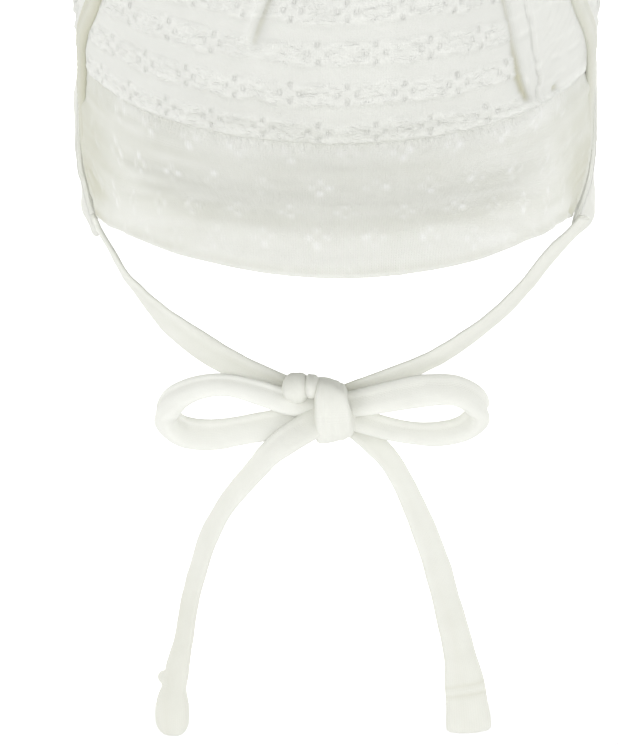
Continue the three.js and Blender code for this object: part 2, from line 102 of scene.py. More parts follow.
def bell(v, width):
    return np.exp(-(v / width) ** 2)


def unit(v):
    return v / np.maximum(np.linalg.norm(v, axis=-1, keepdims=True), 1e-12)


_lattice = {}


def noise(x, y, seed):
    """Smooth noise from -1 to 1, with features about one unit wide."""
    if seed not in _lattice:
        _lattice[seed] = np.random.default_rng(seed).uniform(-1, 1, (256, 256))
    t = _lattice[seed]
    x, y = np.broadcast_arrays(np.asarray(x, float), np.asarray(y, float))
    i, j = np.floor(x).astype(int), np.floor(y).astype(int)
    fx, fy = x - i, y - j
    fx = fx * fx * fx * (fx * (fx * 6 - 15) + 10)
    fy = fy * fy * fy * (fy * (fy * 6 - 15) + 10)
    a, b = t[i & 255, j & 255], t[(i + 1) & 255, j & 255]
    c, d = t[i & 255, (j + 1) & 255], t[(i + 1) & 255, (j + 1) & 255]
    return (a + (b - a) * fx) * (1 - fy) + (c + (d - c) * fx) * fy


class Table:
    """A short table whose first column is the key, read smoothly at any value of it."""

    def __init__(self, names, rows):
        self.names = names.split()
        self.rows = np.array(rows, float)
        self.key = self.rows[:, 0]

    def read(self, name, value):
        k, y = self.key, self.rows[:, self.names.index(name)]
        h = np.diff(k)
        slope = np.diff(y) / h
        m = np.empty(len(k))
        m[0] = slope[0]
        m[-1] = slope[-1]
        if len(k) > 2:
            m[1:-1] = (slope[1:] * h[:-1] + slope[:-1] * h[1:]) / (h[:-1] + h[1:])
            m[-1] = 2 * slope[-1] - m[-2]
        v = clamp(np.asarray(value, float), k[0], k[-1])
        i = clamp(np.searchsorted(k, v, side="right") - 1, 0, len(k) - 2)
        t = (v - k[i]) / h[i]
        t2, t3 = t * t, t * t * t
        return ((2 * t3 - 3 * t2 + 1) * y[i] + (t3 - 2 * t2 + t) * h[i] * m[i]
                + (3 * t2 - 2 * t3) * y[i + 1] + (t3 - t2) * h[i] * m[i + 1])


def mesh_object(name, points, faces, corner_uv, material, painted_shading=None, crumple_and_shading=None, flat=None):
    """points in mm; faces as an n x 4 array, a row's last two alike for a triangle; uv in mm for each corner; flat marks the faces that are not smooth."""
    points, faces = np.asarray(points, float), np.asarray(faces, int)
    quad = faces[:, 2] != faces[:, 3]
    sizes = np.where(quad, 4, 3)
    keep = np.ones(faces.shape, bool)
    keep[~quad, 3] = False
    loops = faces[keep]
    uv = np.asarray(corner_uv, float)[keep]
    starts = np.concatenate([[0], np.cumsum(sizes)[:-1]])
    mesh = bpy.data.meshes.new(name)
    mesh.vertices.add(len(points))
    mesh.vertices.foreach_set("co", (points * MM).ravel())
    mesh.loops.add(len(loops))
    mesh.loops.foreach_set("vertex_index", loops.astype(np.int32))
    mesh.polygons.add(len(faces))
    mesh.polygons.foreach_set("loop_start", starts.astype(np.int32))
    mesh.polygons.foreach_set("use_smooth", np.ones(len(faces), bool) if flat is None else ~flat)
    layer = mesh.uv_layers.new(name="cloth")
    mesh.update(calc_edges=True)
    layer = mesh.uv_layers["cloth"]
    layer.data.foreach_set("uv", (uv * 0.01).ravel())
    for key, given in (("painted_shading", painted_shading), ("crumple_and_shading", crumple_and_shading)):
        values = np.zeros(len(points)) if given is None else np.asarray(given, float)
        attribute = mesh.attributes.new(key, "FLOAT", "POINT")
        attribute.data.foreach_set("value", values.astype(np.float32))
    mesh.validate()
    obj = bpy.data.objects.new(name, mesh)
    bpy.context.scene.collection.objects.link(obj)
    mesh.materials.append(material)
    return obj


def loops_mesh(loops, along, around):
    """A skin over closed loops, n sections of m points. Point j lies across the thickness from point m-1-j, so the ends are zipped shut.
    Returns points, faces and uv in mm."""
    n, m, _ = loops.shape
    points = loops.reshape(-1, 3)
    k, j = np.meshgrid(np.arange(n - 1), np.arange(m), indexing="ij")
    nxt = (j + 1) % m
    faces = np.stack([k * m + j, k * m + nxt, (k + 1) * m + nxt, (k + 1) * m + j], -1).reshape(-1, 4)
    around_next = np.concatenate([around[:, 1:], around[:, :1] + np.linalg.norm(loops[:, 0] - loops[:, -1], axis=-1)[:, None] + around[:, -1:]], 1)
    a0, a1 = around[k, j], around_next[k, j]
    b0, b1 = around_next[k + 1, j], around[k + 1, j]
    uv = np.stack([np.stack([a0, along[k]], -1), np.stack([a1, along[k]], -1),
                   np.stack([b0, along[k + 1]], -1), np.stack([b1, along[k + 1]], -1)], 2).reshape(-1, 4, 2)
    caps, cap_uv = [], []
    for base, flip, at in ((0, True, along[0]), ((n - 1) * m, False, along[-1])):
        for q in range(m // 2 - 1):
            f = [base + q, base + q + 1, base + m - 2 - q, base + m - 1 - q]
            t = [[q * 0.5, at], [q * 0.5 + 0.5, at], [q * 0.5 + 0.5, at + 1], [q * 0.5, at + 1]]
            caps.append(f[::-1] if flip else f)
            cap_uv.append(t[::-1] if flip else t)
        if m % 2:  # an odd loop ends in a triangle
            h = base + m // 2
            caps.append([h + 1, h, h - 1, h - 1] if flip else [h - 1, h, h + 1, h + 1])
            cap_uv.append([[m * 0.25, at]] * 4)
    faces = np.concatenate([faces, np.array(caps)])
    uv = np.concatenate([uv, np.array(cap_uv, float)])
    return outward(points, faces, uv)


def outward(points, faces, uv):
    """The skin, turned over if it encloses a negative volume."""
    a, b, c, d = (points[faces[:, i]] for i in range(4))
    volume = np.einsum("ij,ij->i", a, np.cross(b, c)).sum() + np.einsum("ij,ij->i", a, np.cross(c, d)).sum()
    if volume < 0:
        faces, uv = faces[:, [1, 0, 3, 2]], uv[:, [1, 0, 3, 2]]
    return points, faces, uv


def join(*parts):
    points, faces, uvs, start = [], [], [], 0
    for p, f, uv in parts:
        points.append(p)
        faces.append(f + start)
        uvs.append(uv)
        start += len(p)
    return np.concatenate(points), np.concatenate(faces), np.concatenate(uvs)


# ------------------------------------------------------------------ cloth materials
def jersey(name, light, dark, wale, course, knit, crinkle, crinkle_size, sheen, through, stroke=(3.4, 1.7), stroke_dark=0.42):
    """Matte knitted cotton: V-shaped stitches, soft crinkle and fuzz as bump, and an uneven ivory colour.
    light and dark are linear colours, dark being the tone that the random unevenness and the painted shade mix towards;
    wale and course are a stitch's width and height in mm; through is the share of light that passes the cloth.
    One point attribute holds painted shading: above zero it darkens the cloth as painted shade, and below zero it
    lightens it as painted light. A second one adds short wavy strokes as bump, with painted highlights on their ridges;
    stroke is their length and height in mm and stroke_dark how deep the painted shade in the hollows between them is."""
    mat = bpy.data.materials.new(name)
    mat.use_nodes = True
    nt = mat.node_tree
    nt.nodes.clear()
    link = nt.links.new

    def node(kind, **values):
        n = nt.nodes.new(kind)
        for key, value in values.items():
            setattr(n, key, value)
        return n

    def math_node(op, a, b=None, c=None):
        n = node("ShaderNodeMath", operation=op)
        for socket, value in zip(n.inputs, (a, b, c)):
            if value is None:
                continue
            if isinstance(value, (int, float)):
                socket.default_value = value
            else:
                link(value, socket)
        return n.outputs[0]

    out = node("ShaderNodeOutputMaterial")
    bsdf = node("ShaderNodeBsdfPrincipled")
    thin = node("ShaderNodeBsdfTranslucent")
    both = node("ShaderNodeMixShader")
    both.inputs["Fac"].default_value = through
    link(bsdf.outputs["BSDF"], both.inputs[1])
    link(thin.outputs["BSDF"], both.inputs[2])
    link(both.outputs["Shader"], out.inputs["Surface"])
    uv = node("ShaderNodeUVMap", uv_map="cloth")
    split = node("ShaderNodeSeparateXYZ")
    link(uv.outputs["UV"], split.inputs[0])
    # stitches: two leaning legs in each wale, with a deeper groove between wales
    u = math_node("MULTIPLY", split.outputs["X"], 100.0 / wale)
    v = math_node("MULTIPLY", split.outputs["Y"], 100.0 / course)
    side = math_node("ABSOLUTE", math_node("SUBTRACT", math_node("FRACT", u), 0.5))
    leg = math_node("SUBTRACT", 1.0, math_node("POWER", math_node("MULTIPLY", math_node("ABSOLUTE", math_node("SUBTRACT", side, 0.25)), 4.0), 2.0))
    lean = math_node("ADD", v, math_node("MULTIPLY", side, 1.6))
    wave = math_node("SINE", math_node("MULTIPLY", lean, 2 * math.pi))
    stitch = math_node("MULTIPLY", leg, math_node("ADD", math_node("MULTIPLY", wave, 0.28), 0.72))
    # crinkle and fuzz
    coords = node("ShaderNodeTexCoord")
    crinkles = node("ShaderNodeTexNoise")
    crinkles.inputs["Scale"].default_value = 1000.0 / crinkle_size
    crinkles.inputs["Detail"].default_value = 3.0
    crinkles.inputs["Roughness"].default_value = 0.6
    link(coords.outputs["Object"], crinkles.inputs["Vector"])
    fuzz = node("ShaderNodeTexNoise")
    fuzz.inputs["Scale"].default_value = 1000.0 / 0.42
    fuzz.inputs["Detail"].default_value = 2.0
    link(coords.outputs["Object"], fuzz.inputs["Vector"])
    stretch = node("ShaderNodeVectorMath", operation="MULTIPLY")
    link(uv.outputs["UV"], stretch.inputs[0])
    stretch.inputs[1].default_value = (100.0 / stroke[0], 100.0 / stroke[1], 1.0)
    wrinkles = node("ShaderNodeTexNoise")
    wrinkles.inputs["Scale"].default_value = 1.0
    wrinkles.inputs["Detail"].default_value = 1.1
    wrinkles.inputs["Roughness"].default_value = 0.55
    wrinkles.inputs["Distortion"].default_value = 0.9
    link(stretch.outputs["Vector"], wrinkles.inputs["Vector"])
    away = math_node("ABSOLUTE", math_node("SUBTRACT", wrinkles.outputs["Fac"], 0.5))
    crest = math_node("MAXIMUM", math_node("SUBTRACT", 1.0, math_node("MULTIPLY", away, 8.0)), 0.0)
    hollow = math_node("MINIMUM", math_node("MAXIMUM", math_node("MULTIPLY", math_node("SUBTRACT", away, 0.12), 9.0), 0.0), 1.0)
    ridges = math_node("SUBTRACT", crest, math_node("MULTIPLY", hollow, 0.6))
    crumple_and_shading = node("ShaderNodeAttribute", attribute_name="crumple_and_shading")
    bump_d = node("ShaderNodeBump")
    bump_d.inputs["Strength"].default_value = 1.0
    bump_d.inputs["Distance"].default_value = 0.00012
    link(math_node("MULTIPLY", ridges, crumple_and_shading.outputs["Fac"]), bump_d.inputs["Height"])
    bump_a = node("ShaderNodeBump")
    link(bump_d.outputs["Normal"], bump_a.inputs["Normal"])
    bump_a.inputs["Strength"].default_value = crinkle
    bump_a.inputs["Distance"].default_value = 0.0006
    link(crinkles.outputs["Fac"], bump_a.inputs["Height"])
    bump_b = node("ShaderNodeBump")
    bump_b.inputs["Strength"].default_value = knit
    bump_b.inputs["Distance"].default_value = 0.00016
    link(stitch, bump_b.inputs["Height"])
    link(bump_a.outputs["Normal"], bump_b.inputs["Normal"])
    bump_c = node("ShaderNodeBump")
    bump_c.inputs["Strength"].default_value = 0.35
    bump_c.inputs["Distance"].default_value = 0.00008
    link(fuzz.outputs["Fac"], bump_c.inputs["Height"])
    link(bump_b.outputs["Normal"], bump_c.inputs["Normal"])
    link(bump_c.outputs["Normal"], bsdf.inputs["Normal"])
    link(bump_c.outputs["Normal"], thin.inputs["Normal"])
    # colour: uneven ivory, with a little painted shade in the grooves between wales
    blotch = node("ShaderNodeTexNoise")
    blotch.inputs["Scale"].default_value = 1000.0 / 9.0
    blotch.inputs["Detail"].default_value = 4.0
    link(coords.outputs["Object"], blotch.inputs["Vector"])
    ramp = node("ShaderNodeMapRange")
    ramp.inputs["From Min"].default_value = 0.3
    ramp.inputs["From Max"].default_value = 0.7
    link(blotch.outputs["Fac"], ramp.inputs["Value"])
    groove = math_node("MULTIPLY", math_node("SUBTRACT", 1.0, stitch), 0.35)
    amount = math_node("ADD", math_node("MULTIPLY", ramp.outputs["Result"], 0.35), groove)
    # painted shading from a point attribute, then painted highlights on the strokes' crests and painted shade in their
    # hollows
    painted_shading = node("ShaderNodeAttribute", attribute_name="painted_shading")
    amount = math_node("ADD", amount, painted_shading.outputs["Fac"])
    strokes = math_node("ADD", math_node("SUBTRACT", math_node("MULTIPLY", crest, 0.5), math_node("MULTIPLY", hollow, stroke_dark)), 0.0)
    amount = math_node("SUBTRACT", amount, math_node("MULTIPLY", strokes, crumple_and_shading.outputs["Fac"]))
    mix = node("ShaderNodeMix", data_type="RGBA", clamp_factor=False)
    link(amount, mix.inputs["Factor"])
    for socket in mix.inputs:
        if socket.type == "RGBA" and socket.name == "A":
            socket.default_value = (*light, 1)
        if socket.type == "RGBA" and socket.name == "B":
            socket.default_value = (*dark, 1)
    result = [s for s in mix.outputs if s.type == "RGBA"][0]
    # painted shade: where the painted shading runs deep, in folds, the colour goes olive
    deepen = node("ShaderNodeMix", data_type="RGBA")
    link(math_node("MINIMUM", math_node("MAXIMUM", math_node("MULTIPLY", math_node("SUBTRACT", painted_shading.outputs["Fac"], 0.8), 0.4), 0.0), 0.85), deepen.inputs["Factor"])
    for socket in deepen.inputs:
        if socket.type == "RGBA" and socket.name == "A":
            link(result, socket)
        if socket.type == "RGBA" and socket.name == "B":
            socket.default_value = (0.60, 0.585, 0.44, 1)
    result = [s for s in deepen.outputs if s.type == "RGBA"][0]
    link(result, bsdf.inputs["Base Color"])
    link(result, thin.inputs["Color"])
    bsdf.inputs["Roughness"].default_value = 0.92
    bsdf.inputs["Specular IOR Level"].default_value = 0.18
    bsdf.inputs["Sheen Weight"].default_value = sheen
    bsdf.inputs["Sheen Roughness"].default_value = 0.45
    bsdf.inputs["Sheen Tint"].default_value = (1.0, 1.0, 0.95, 1)
    return mat


IVORY = dict(light=(0.805, 0.811, 0.766), dark=(0.725, 0.731, 0.668))
pointelle_mat = jersey("pointelle_jersey", light=(0.780, 0.786, 0.746), dark=(0.707, 0.713, 0.674), stroke_dark=0.14, wale=0.78, course=0.62, knit=0.55, crinkle=0.32, crinkle_size=1.6, sheen=0.12, through=0.04)
doubled_mat = jersey("doubled_jersey", **IVORY, wale=0.80, course=0.66, knit=0.7, crinkle=0.22, crinkle_size=2.4, sheen=0.1, through=0.04, stroke=(0.9, 2.0), stroke_dark=0.15)
band_mat = jersey("band_jersey", **IVORY, wale=0.80, course=0.66, knit=0.6, crinkle=0.22, crinkle_size=2.0, sheen=0.1, through=0.04)
tie_mat = jersey("tie_jersey", light=(0.838, 0.844, 0.797), dark=(0.758, 0.763, 0.706), wale=0.84, course=0.70, knit=0.22, crinkle=0.14, crinkle_size=3.0, sheen=0.12, through=0.04)


def place(obj, node, slot):
    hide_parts(node)
    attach(obj, "root")
    return obj


# ------------------------------------------------------------------ ties and bow
# x y z of the strip's middle, its width, its thickness, and its turn about its own length
TIE_LEFT = [
    (-63.2, -18.0, -42.4, 6.4, 1.5, 88), (-61.6, -18.6, -46.0, 7.0, 1.5, 88), (-58.3, -19.4, -52.0, 7.4, 1.5, 86), (-54.9, -20.6, -57.8, 7.6, 1.6, 82),
    (-51.3, -21.6, -61.8, 7.8, 1.7, 75), (-46.9, -22.4, -66.6, 8.0, 1.8, 60), (-42.6, -22.8, -71.0, 8.0, 1.9, 44),
    (-37.2, -23.4, -75.2, 8.0, 2.0, 35), (-31.6, -24.0, -79.0, 7.8, 2.0, 28), (-25.2, -24.2, -82.6, 7.4, 2.0, 25),
    (-17.6, -24.6, -86.2, 7.0, 2.1, 22), (-9.4, -25.2, -89.4, 6.4, 2.2, 20),
]
TIE_RIGHT = [
    (64.4, -18.0, -42.4, 6.0, 1.6, -72), (61.6, -18.6, -46.2, 6.6, 1.6, -68), (55.4, -20.0, -52.6, 7.4, 1.6, -64), (49.2, -21.2, -60.6, 7.6, 1.7, -64),
    (41.9, -22.4, -68.2, 7.8, 1.8, -63), (32.6, -23.4, -75.6, 7.8, 1.9, -60), (24.0, -24.0, -80.8, 7.6, 2.0, -56),
    (14.6, -24.6, -85.0, 7.2, 2.1, -50), (2.6, -25.6, -89.4, 6.8, 2.2, -40),
]
LOOP_LEFT = [
    (-5.4, -30.4, -90.4, 7.0, 2.8, 0), (-11.6, -31, -89.6, 7.2, 2.6, 0), (-19.3, -31, -87.0, 7.0, 2.4, 0), (-29.0, -31, -84.5, 6.4, 2.4, 0),
    (-37.2, -31, -85.8, 7.0, 2.8, 0), (-42.6, -31, -89.4, 8.0, 4.4, 0), (-44.0, -31, -93.8, 8.4, 5.6, 0), (-40.4, -31, -97.6, 8.6, 4.0, 0),
    (-33.0, -31, -98.8, 8.6, 2.6, 0), (-22.0, -31, -97.0, 8.4, 2.4, 0), (-11.6, -31, -94.8, 8.0, 2.6, 0), (-5.4, -30.6, -93.2, 7.4, 2.8, 0),
]
LOOP_RIGHT = [
    (2.6, -30.4, -90.4, 7.4, 2.8, 0), (8.6, -31, -89.0, 8.2, 2.6, 0), (14.4, -31, -87.7, 8.8, 2.4, 0), (23.5, -31, -86.0, 9.0, 2.4, 0),
    (31.4, -31, -86.1, 8.8, 2.6, 0), (36.2, -31, -89.0, 8.6, 4.0, 0), (37.3, -31, -92.6, 8.4, 4.8, 0), (34.0, -31, -96.4, 7.6, 3.8, 0),
    (27.0, -31, -98.4, 6.8, 2.6, 0), (17.6, -31, -97.8, 6.4, 2.4, 0), (8.6, -31, -95.4, 6.6, 2.6, 0), (2.6, -30.6, -93.4, 7.0, 2.8, 0),
]
LOOP_WIDTH_ALONG = (0.0, -0.5, -0.866)
TAIL_LEFT = [
    (-2.0, -32.2, -92.6, 7.0, 3.0, 6), (-6.5, -34.2, -94.6, 7.6, 3.0, 8), (-11.8, -36.2, -97.3, 7.4, 2.8, 10), (-17.2, -34.6, -102.5, 6.6, 2.6, 16),
    (-20.4, -31.4, -107.9, 6.2, 2.5, 24), (-25.0, -28.4, -115.0, 6.2, 2.4, 32), (-29.2, -27.0, -121.4, 6.3, 2.3, 40), (-33.1, -26.6, -129.7, 6.6, 2.2, 46),
    (-36.7, -26.2, -141.0, 6.8, 2.2, 50), (-38.9, -26.0, -150.6, 7.0, 2.2, 52),
    (-40.7, -26.0, -162.2, 7.0, 2.4, 46), (-42.2, -26.0, -170.0, 7.2, 3.0, 32), (-42.9, -26.0, -174.6, 6.6, 3.0, 24),
    (-43.5, -26.0, -179.4, 8.9, 4.4, 18), (-43.7, -26.0, -184.8, 9.2, 4.8, 14), (-43.5, -26.0, -189.8, 7.6, 4.2, 12),
]
TAIL_RIGHT = [
    (2.8, -27.2, -96.4, 6.4, 2.6, -12), (6.8, -27.4, -99.6, 6.2, 2.4, -14), (10.4, -27.6, -103.2, 6.0, 2.3, -14), (14.2, -27.6, -107.6, 5.8, 2.2, -18),
    (17.8, -27.4, -114.2, 6.0, 2.2, -20), (21.0, -27.2, -121.8, 6.6, 2.2, -20), (26.0, -26.8, -135.8, 7.4, 2.2, -20),
    (29.8, -26.4, -150.6, 7.8, 2.2, -18), (33.1, -26.0, -164.8, 9.0, 2.2, -14), (34.9, -26.0, -176.4, 11.0, 2.6, -6), (36.0, -26.0, -188.8, 12.0, 2.8, 0),
]
STRIP_STEP = 0.7
STRIP_AROUND = 36


def strip_frames(table, width_along=None):
    rows = np.array(table, float)
    chord = np.linalg.norm(np.diff(rows[:, :3], axis=0), axis=1)
    key = np.concatenate([[0], np.cumsum(np.sqrt(chord))])
    t = Table("k x y z width thick turn", np.column_stack([key, rows]))
    fine = np.linspace(0, key[-1], 1200)
    path = np.stack([t.read(c, fine) for c in "xyz"], -1)
    arc = np.concatenate([[0], np.cumsum(np.linalg.norm(np.diff(path, axis=0), axis=1))])
    count = int(round(arc[-1] / STRIP_STEP)) + 1
    along = np.linspace(0, arc[-1], count)
    k = np.interp(along, arc, fine)
    middle = np.stack([t.read(c, k) for c in "xyz"], -1)
    tangent = unit(np.gradient(middle, along, axis=0))
    if width_along is None:
        across = unit(np.cross(np.array([0.0, -0.918, 0.396]), tangent))
        turn = t.read("turn", k) * DEG
        across = across * np.cos(turn)[:, None] + np.cross(tangent, across) * np.sin(turn)[:, None]
    else:
        across = np.array(width_along)[None, :] - (tangent @ np.array(width_along))[:, None] * tangent
        across = unit(across)
    face = unit(np.cross(across, tangent))
    return along, middle, across, face, t.read("width", k), t.read("thick", k)


def strip(table, seed, width_along=None, crease=0.2, crease_depth=0.3, pucker_start=0.0, pucker_end=0.0, round_end=0.0, hems=(), knob=None):
    """A flat folded tube of jersey along a table of stations. hems are distances from its far end with a stitched groove;
    knob is the distance and size of a little bunch of cloth on one edge."""
    along, middle, across, face, width, thick = strip_frames(table, width_along)
    total = along[-1]
    width = width * (1 + 0.035 * noise(along / 6.5, seed, seed))
    theta = 2 * math.pi * (np.arange(STRIP_AROUND) + 0.5) / STRIP_AROUND
    c, s = np.cos(theta), np.sin(theta)
    a = np.sign(c) * np.abs(c) ** 0.62
    b = np.sign(s) * np.abs(s) ** 0.85
    v = along[:, None]
    A = 0.5 * width[:, None] * a[None, :]
    T = 0.5 * thick[:, None] * b[None, :]
    # a lengthwise fold, softly wandering, and a thicker edge beside it
    line = crease * width[:, None] + 0.35 * noise(v / 14, 3.0, seed + 1)
    T = T * (1 - crease_depth * bell(A - line, 0.55) + 0.12 * smooth(0.0, 1.2, A - line))
    # puckers across the strip, strongest where it is gripped
    grip = pucker_start * np.exp(-v / 7.0) + pucker_end * np.exp(-(total - v) / 6.0)
    T = T + np.sign(b)[None, :] * grip * 0.55 * noise(v / 1.9, A / 3.2, seed + 2) * np.abs(b)[None, :]
    lift = 0.22 * noise(v / 9.0, A / 6.0, seed + 3) + 0.10 * noise(v / 3.2, A / 3.0, seed + 4)
    for hem in hems:
        T = T * (1 - 0.3 * bell(v - (total - hem), 0.6))
    if knob:
        A = A - knob[1] * np.exp(-((v - (total - knob[0])) / 1.5) ** 4) * smooth(0.5, 0.9, -a)[None, :]
    if round_end:
        near = clamp((v - (total - round_end)) / round_end, 0, 1)
        shrink = np.sqrt(np.maximum(1 - near ** 2.2, 0.03))
        A, T = A * (0.35 + 0.65 * shrink), T * shrink
    loops = middle[:, None, :] + A[..., None] * across[:, None, :] + (T + lift)[..., None] * face[:, None, :]
    # painted shade along the lengthwise fold, near the gripped ends and in each hem's stitched groove
    shade = 1.1 * crease_depth * bell(A - line, 0.7) + 0.8 * (pucker_start > 0) * np.exp(-v / 5.0) + 0.8 * (pucker_end > 0) * np.exp(-(total - v) / 5.0)
    for hem in hems:
        shade = shade + 0.3 * bell(v - (total - hem), 0.7)
    around = np.concatenate([[0], np.cumsum(np.linalg.norm(np.diff(loops[len(loops) // 2], axis=0), axis=1))])
    around = np.repeat(around[None, :], len(along), 0)
    return loops_mesh(loops, along, around), middle, total, shade


def make_strip(name, node, table, painted_shading=(0.6, 0.6), **options):
    """The pair of levels is the strip's painted shade at its start and at its end; a level below zero is painted light.
    """
    (points, faces, uv), middle, length, shade = strip(table, **options)
    level = painted_shading[0] + (painted_shading[1] - painted_shading[0]) * smooth(0.3, 0.7, np.linspace(0, 1, len(middle)))
    obj = mesh_object(name, points, faces, uv, tie_mat, painted_shading=(shade + level[:, None]).ravel())
    place(obj, node, "tie_jersey")
    return obj, middle, length


# each strip gets an even painted shade, with painted light on the loops, which lie in the visor's shade; the tails grow
# darker towards their ends
tie_left, tie_left_path, tie_left_length = make_strip("tie_left_strip", "tie_left", TIE_LEFT, seed=11, crease=0.16, crease_depth=0.28, pucker_end=0.5)
tie_right, tie_right_path, tie_right_length = make_strip("tie_right_strip", "tie_right", TIE_RIGHT, seed=23, crease=0.1, crease_depth=0.22, pucker_end=0.5)
loop_left, loop_left_path, loop_left_length = make_strip("bow_loop_left_strip", "bow_loop_left", [(*row[:3], row[3] * 0.93, *row[4:]) for row in LOOP_LEFT], painted_shading=(-0.4, 0.05), seed=37, width_along=LOOP_WIDTH_ALONG, crease=-0.2, crease_depth=0.3, pucker_start=0.5, pucker_end=0.5)
loop_right, loop_right_path, loop_right_length = make_strip("bow_loop_right_strip", "bow_loop_right", [(*row[:3], row[3] * 0.93, *row[4:]) for row in LOOP_RIGHT], painted_shading=(-0.15, 0.15), seed=41, width_along=LOOP_WIDTH_ALONG, crease=-0.15, crease_depth=0.25, pucker_start=0.5, pucker_end=0.5)
tail_left, tail_left_path, tail_left_length = make_strip("tie_tail_left_strip", "tie_tail_left", TAIL_LEFT, painted_shading=(0.35, 0.95), seed=53, crease=-0.16, crease_depth=0.1, pucker_start=0.9, round_end=4.6, knob=(16.4, 1.9))
tail_right, tail_right_path, tail_right_length = make_strip("tie_tail_right_strip", "tie_tail_right", TAIL_RIGHT, painted_shading=(0.5, 0.85), seed=67, crease=-0.14, crease_depth=0.08, pucker_start=0.9, round_end=1.8, hems=(14.8, 11.8))

# the knot: a wrap that goes round the middle, and the turned cloth that stands out at its upper left
KNOT = dict(left=-5.7, y=-31.4, z=-91.6, half_width=4.5, widens=1.0, half_depth=5.2, half_height=8.1)
# x y z of the middle of each turned fold, then its half sizes
KNOT_FOLDS = [
    (-10.2, -30.0, -85.8, 3.9, 4.4, 4.1),
    (-6.2, -30.8, -84.9, 2.3, 4.2, 3.0),
]


def knot():
    n, m = 46, 72
    x = np.sin(np.linspace(-1, 1, n) * math.pi / 2)
    phi = 2 * math.pi * (np.arange(m) + 0.5) / m
    X, PHI = np.meshgrid(x, phi, indexing="ij")
    c, s = np.cos(PHI), np.sin(PHI)
    rim = np.maximum(1 - np.abs(X) ** 9, 0.0) ** 0.36 * 0.8 + 0.2 * np.maximum(1 - X ** 2, 0.0) ** 0.3 + 0.02
    taper = 1.0 - 0.14 * X
    radius = rim * taper
    # creases run the way the wrap goes
    crease = np.zeros_like(X)
    for at, depth, size in ((-0.5, 0.22, 0.12), (0.1, 0.16, 0.14), (0.62, 0.24, 0.10)):
        crease -= depth * bell(X - at - 0.08 * np.sin(PHI * 1.5 + at * 5), size) * (0.65 + 0.35 * np.sin(PHI * 2 + at * 9))
    crease += 0.22 * noise(X * 2.0, 4 + 1.6 * c, 91) + 0.08 * noise(X * 5.0, 9 + 2.4 * s, 92)
    Y = KNOT["y"] + (KNOT["half_depth"] * radius + crease) * np.sign(c) * np.abs(c) ** 0.66
    Z = KNOT["z"] + (KNOT["half_height"] * radius + crease) * np.sign(s) * np.abs(s) ** 0.72
    loops = np.stack([KNOT["left"] + (X + 1) * (KNOT["half_width"] + KNOT["widens"] * 0.5 * (1 - s)), Y, Z], -1)
    around = np.repeat(np.linspace(0, 48, m)[None, :], n, 0)
    parts = [loops_mesh(loops, KNOT["half_width"] * x, around)]
    for index, (fx, fy, fz, hx, hy, hz) in enumerate(KNOT_FOLDS):
        n2, m2 = 30, 48
        t = np.linspace(-0.995, 0.995, n2)
        psi = 2 * math.pi * (np.arange(m2) + 0.5) / m2
        Tn, PSI = np.meshgrid(t, psi, indexing="ij")
        r = np.maximum(1 - np.abs(Tn) ** 2.2, 0.0) ** 0.5
        r = r * (1 + 0.07 * noise(Tn * 2.2, 5 + np.cos(PSI) * 1.5, 95 + index))
        loops = np.stack([fx + hx * Tn, fy + hy * r * np.cos(PSI), fz + hz * r * np.sin(PSI)], -1)
        around = np.repeat(np.linspace(0, 24, m2)[None, :], n2, 0)
        parts.append(loops_mesh(loops, hx * t, around))
    return join(*parts)


points, faces, uv = knot()
# the knot's wrap gets an even painted shade
knot_obj = place(mesh_object("bow_knot_wrap", points, faces, uv, tie_mat, painted_shading=np.full(len(points), 0.4)), "bow_knot", "tie_jersey")

# ------------------------------------------------------------------ crown
GAP = 0.35
SEAM = dict(half_width=66.6, front=75.0, back=79.0)
CROWN = Table("u z half_width front back", [
    (0.00, 0.0, 66.6, 75.0, 79.0), (0.06, 6.0, 67.4, 77.3, 81.0), (0.14, 15.0, 67.8, 78.4, 82.5), (0.26, 30.0, 66.6, 77.6, 83.0),
    (0.38, 45.0, 63.6, 74.2, 81.0), (0.50, 60.0, 58.5, 68.0, 75.5), (0.63, 75.0, 50.0, 57.8, 65.0), (0.77, 87.5, 37.0, 42.6, 48.5),
    (0.90, 95.5, 18.8, 21.5, 24.5), (1.00, 98.0, 0.0, 0.0, 0.0)])
BAND = dict(width=6.4, thick=2.3, azimuth=76.0, low=-41.5, arch_y=36.0, lean_to=0.26)
CROWN_THICK = 1.25
# painted shade on the holes' floors, at a diamond's side holes and at its upper and lower holes; below zero it is
# painted light
HOLE_PAINTED_SHADE = dict(side=-0.2, end=0.3)
HOLE_DEEP = dict(side=0.035, end=0.1)  # how deep a diamond's side holes and its upper and lower holes look
# pointelle: diamonds of four holes in staggered rows, on raised crinkled bands
MOTIF = dict(pitch=14.3, row_pitch=10.6, first_row=4.31, row_a_at=2.7, across=2.33, up=2.18, hole_w=0.85, hole_h=1.4)
CELLS = dict(pitch=22, row=16)  # grid cells for a repeat
# Folds: a line of the valley or ridge by height q above the seam, as distance p round from the front
LEFT_TUCK = Table("q p", [(23.5, -20.6), (26.5, -21.6), (30.0, -20.9), (33.2, -19.8), (36.0, -18.8), (46.0, -15.4), (60.0, -11.0), (72.0, -8.0)])
RIGHT_VALLEY = Table("q p", [(-1.0, 58.6), (2.4, 56.8), (5.3, 54.8), (8.6, 53.2), (14.6, 51.0), (17.9, 50.3), (22.4, 49.4), (26.5, 48.6), (30.8, 47.9), (45.0, 44.6), (60.0, 41.0), (75.0, 37.0)])
RIGHT_LINE = Table("q p", [(-1.0, 60.4), (4.1, 60.0), (6.6, 59.7), (10.2, 59.6), (14.1, 58.4), (17.4, 57.4), (22.4, 56.9), (24.4, 56.4), (29.0, 55.4), (45.0, 51.4), (60.0, 47.0), (75.0, 42.0)])


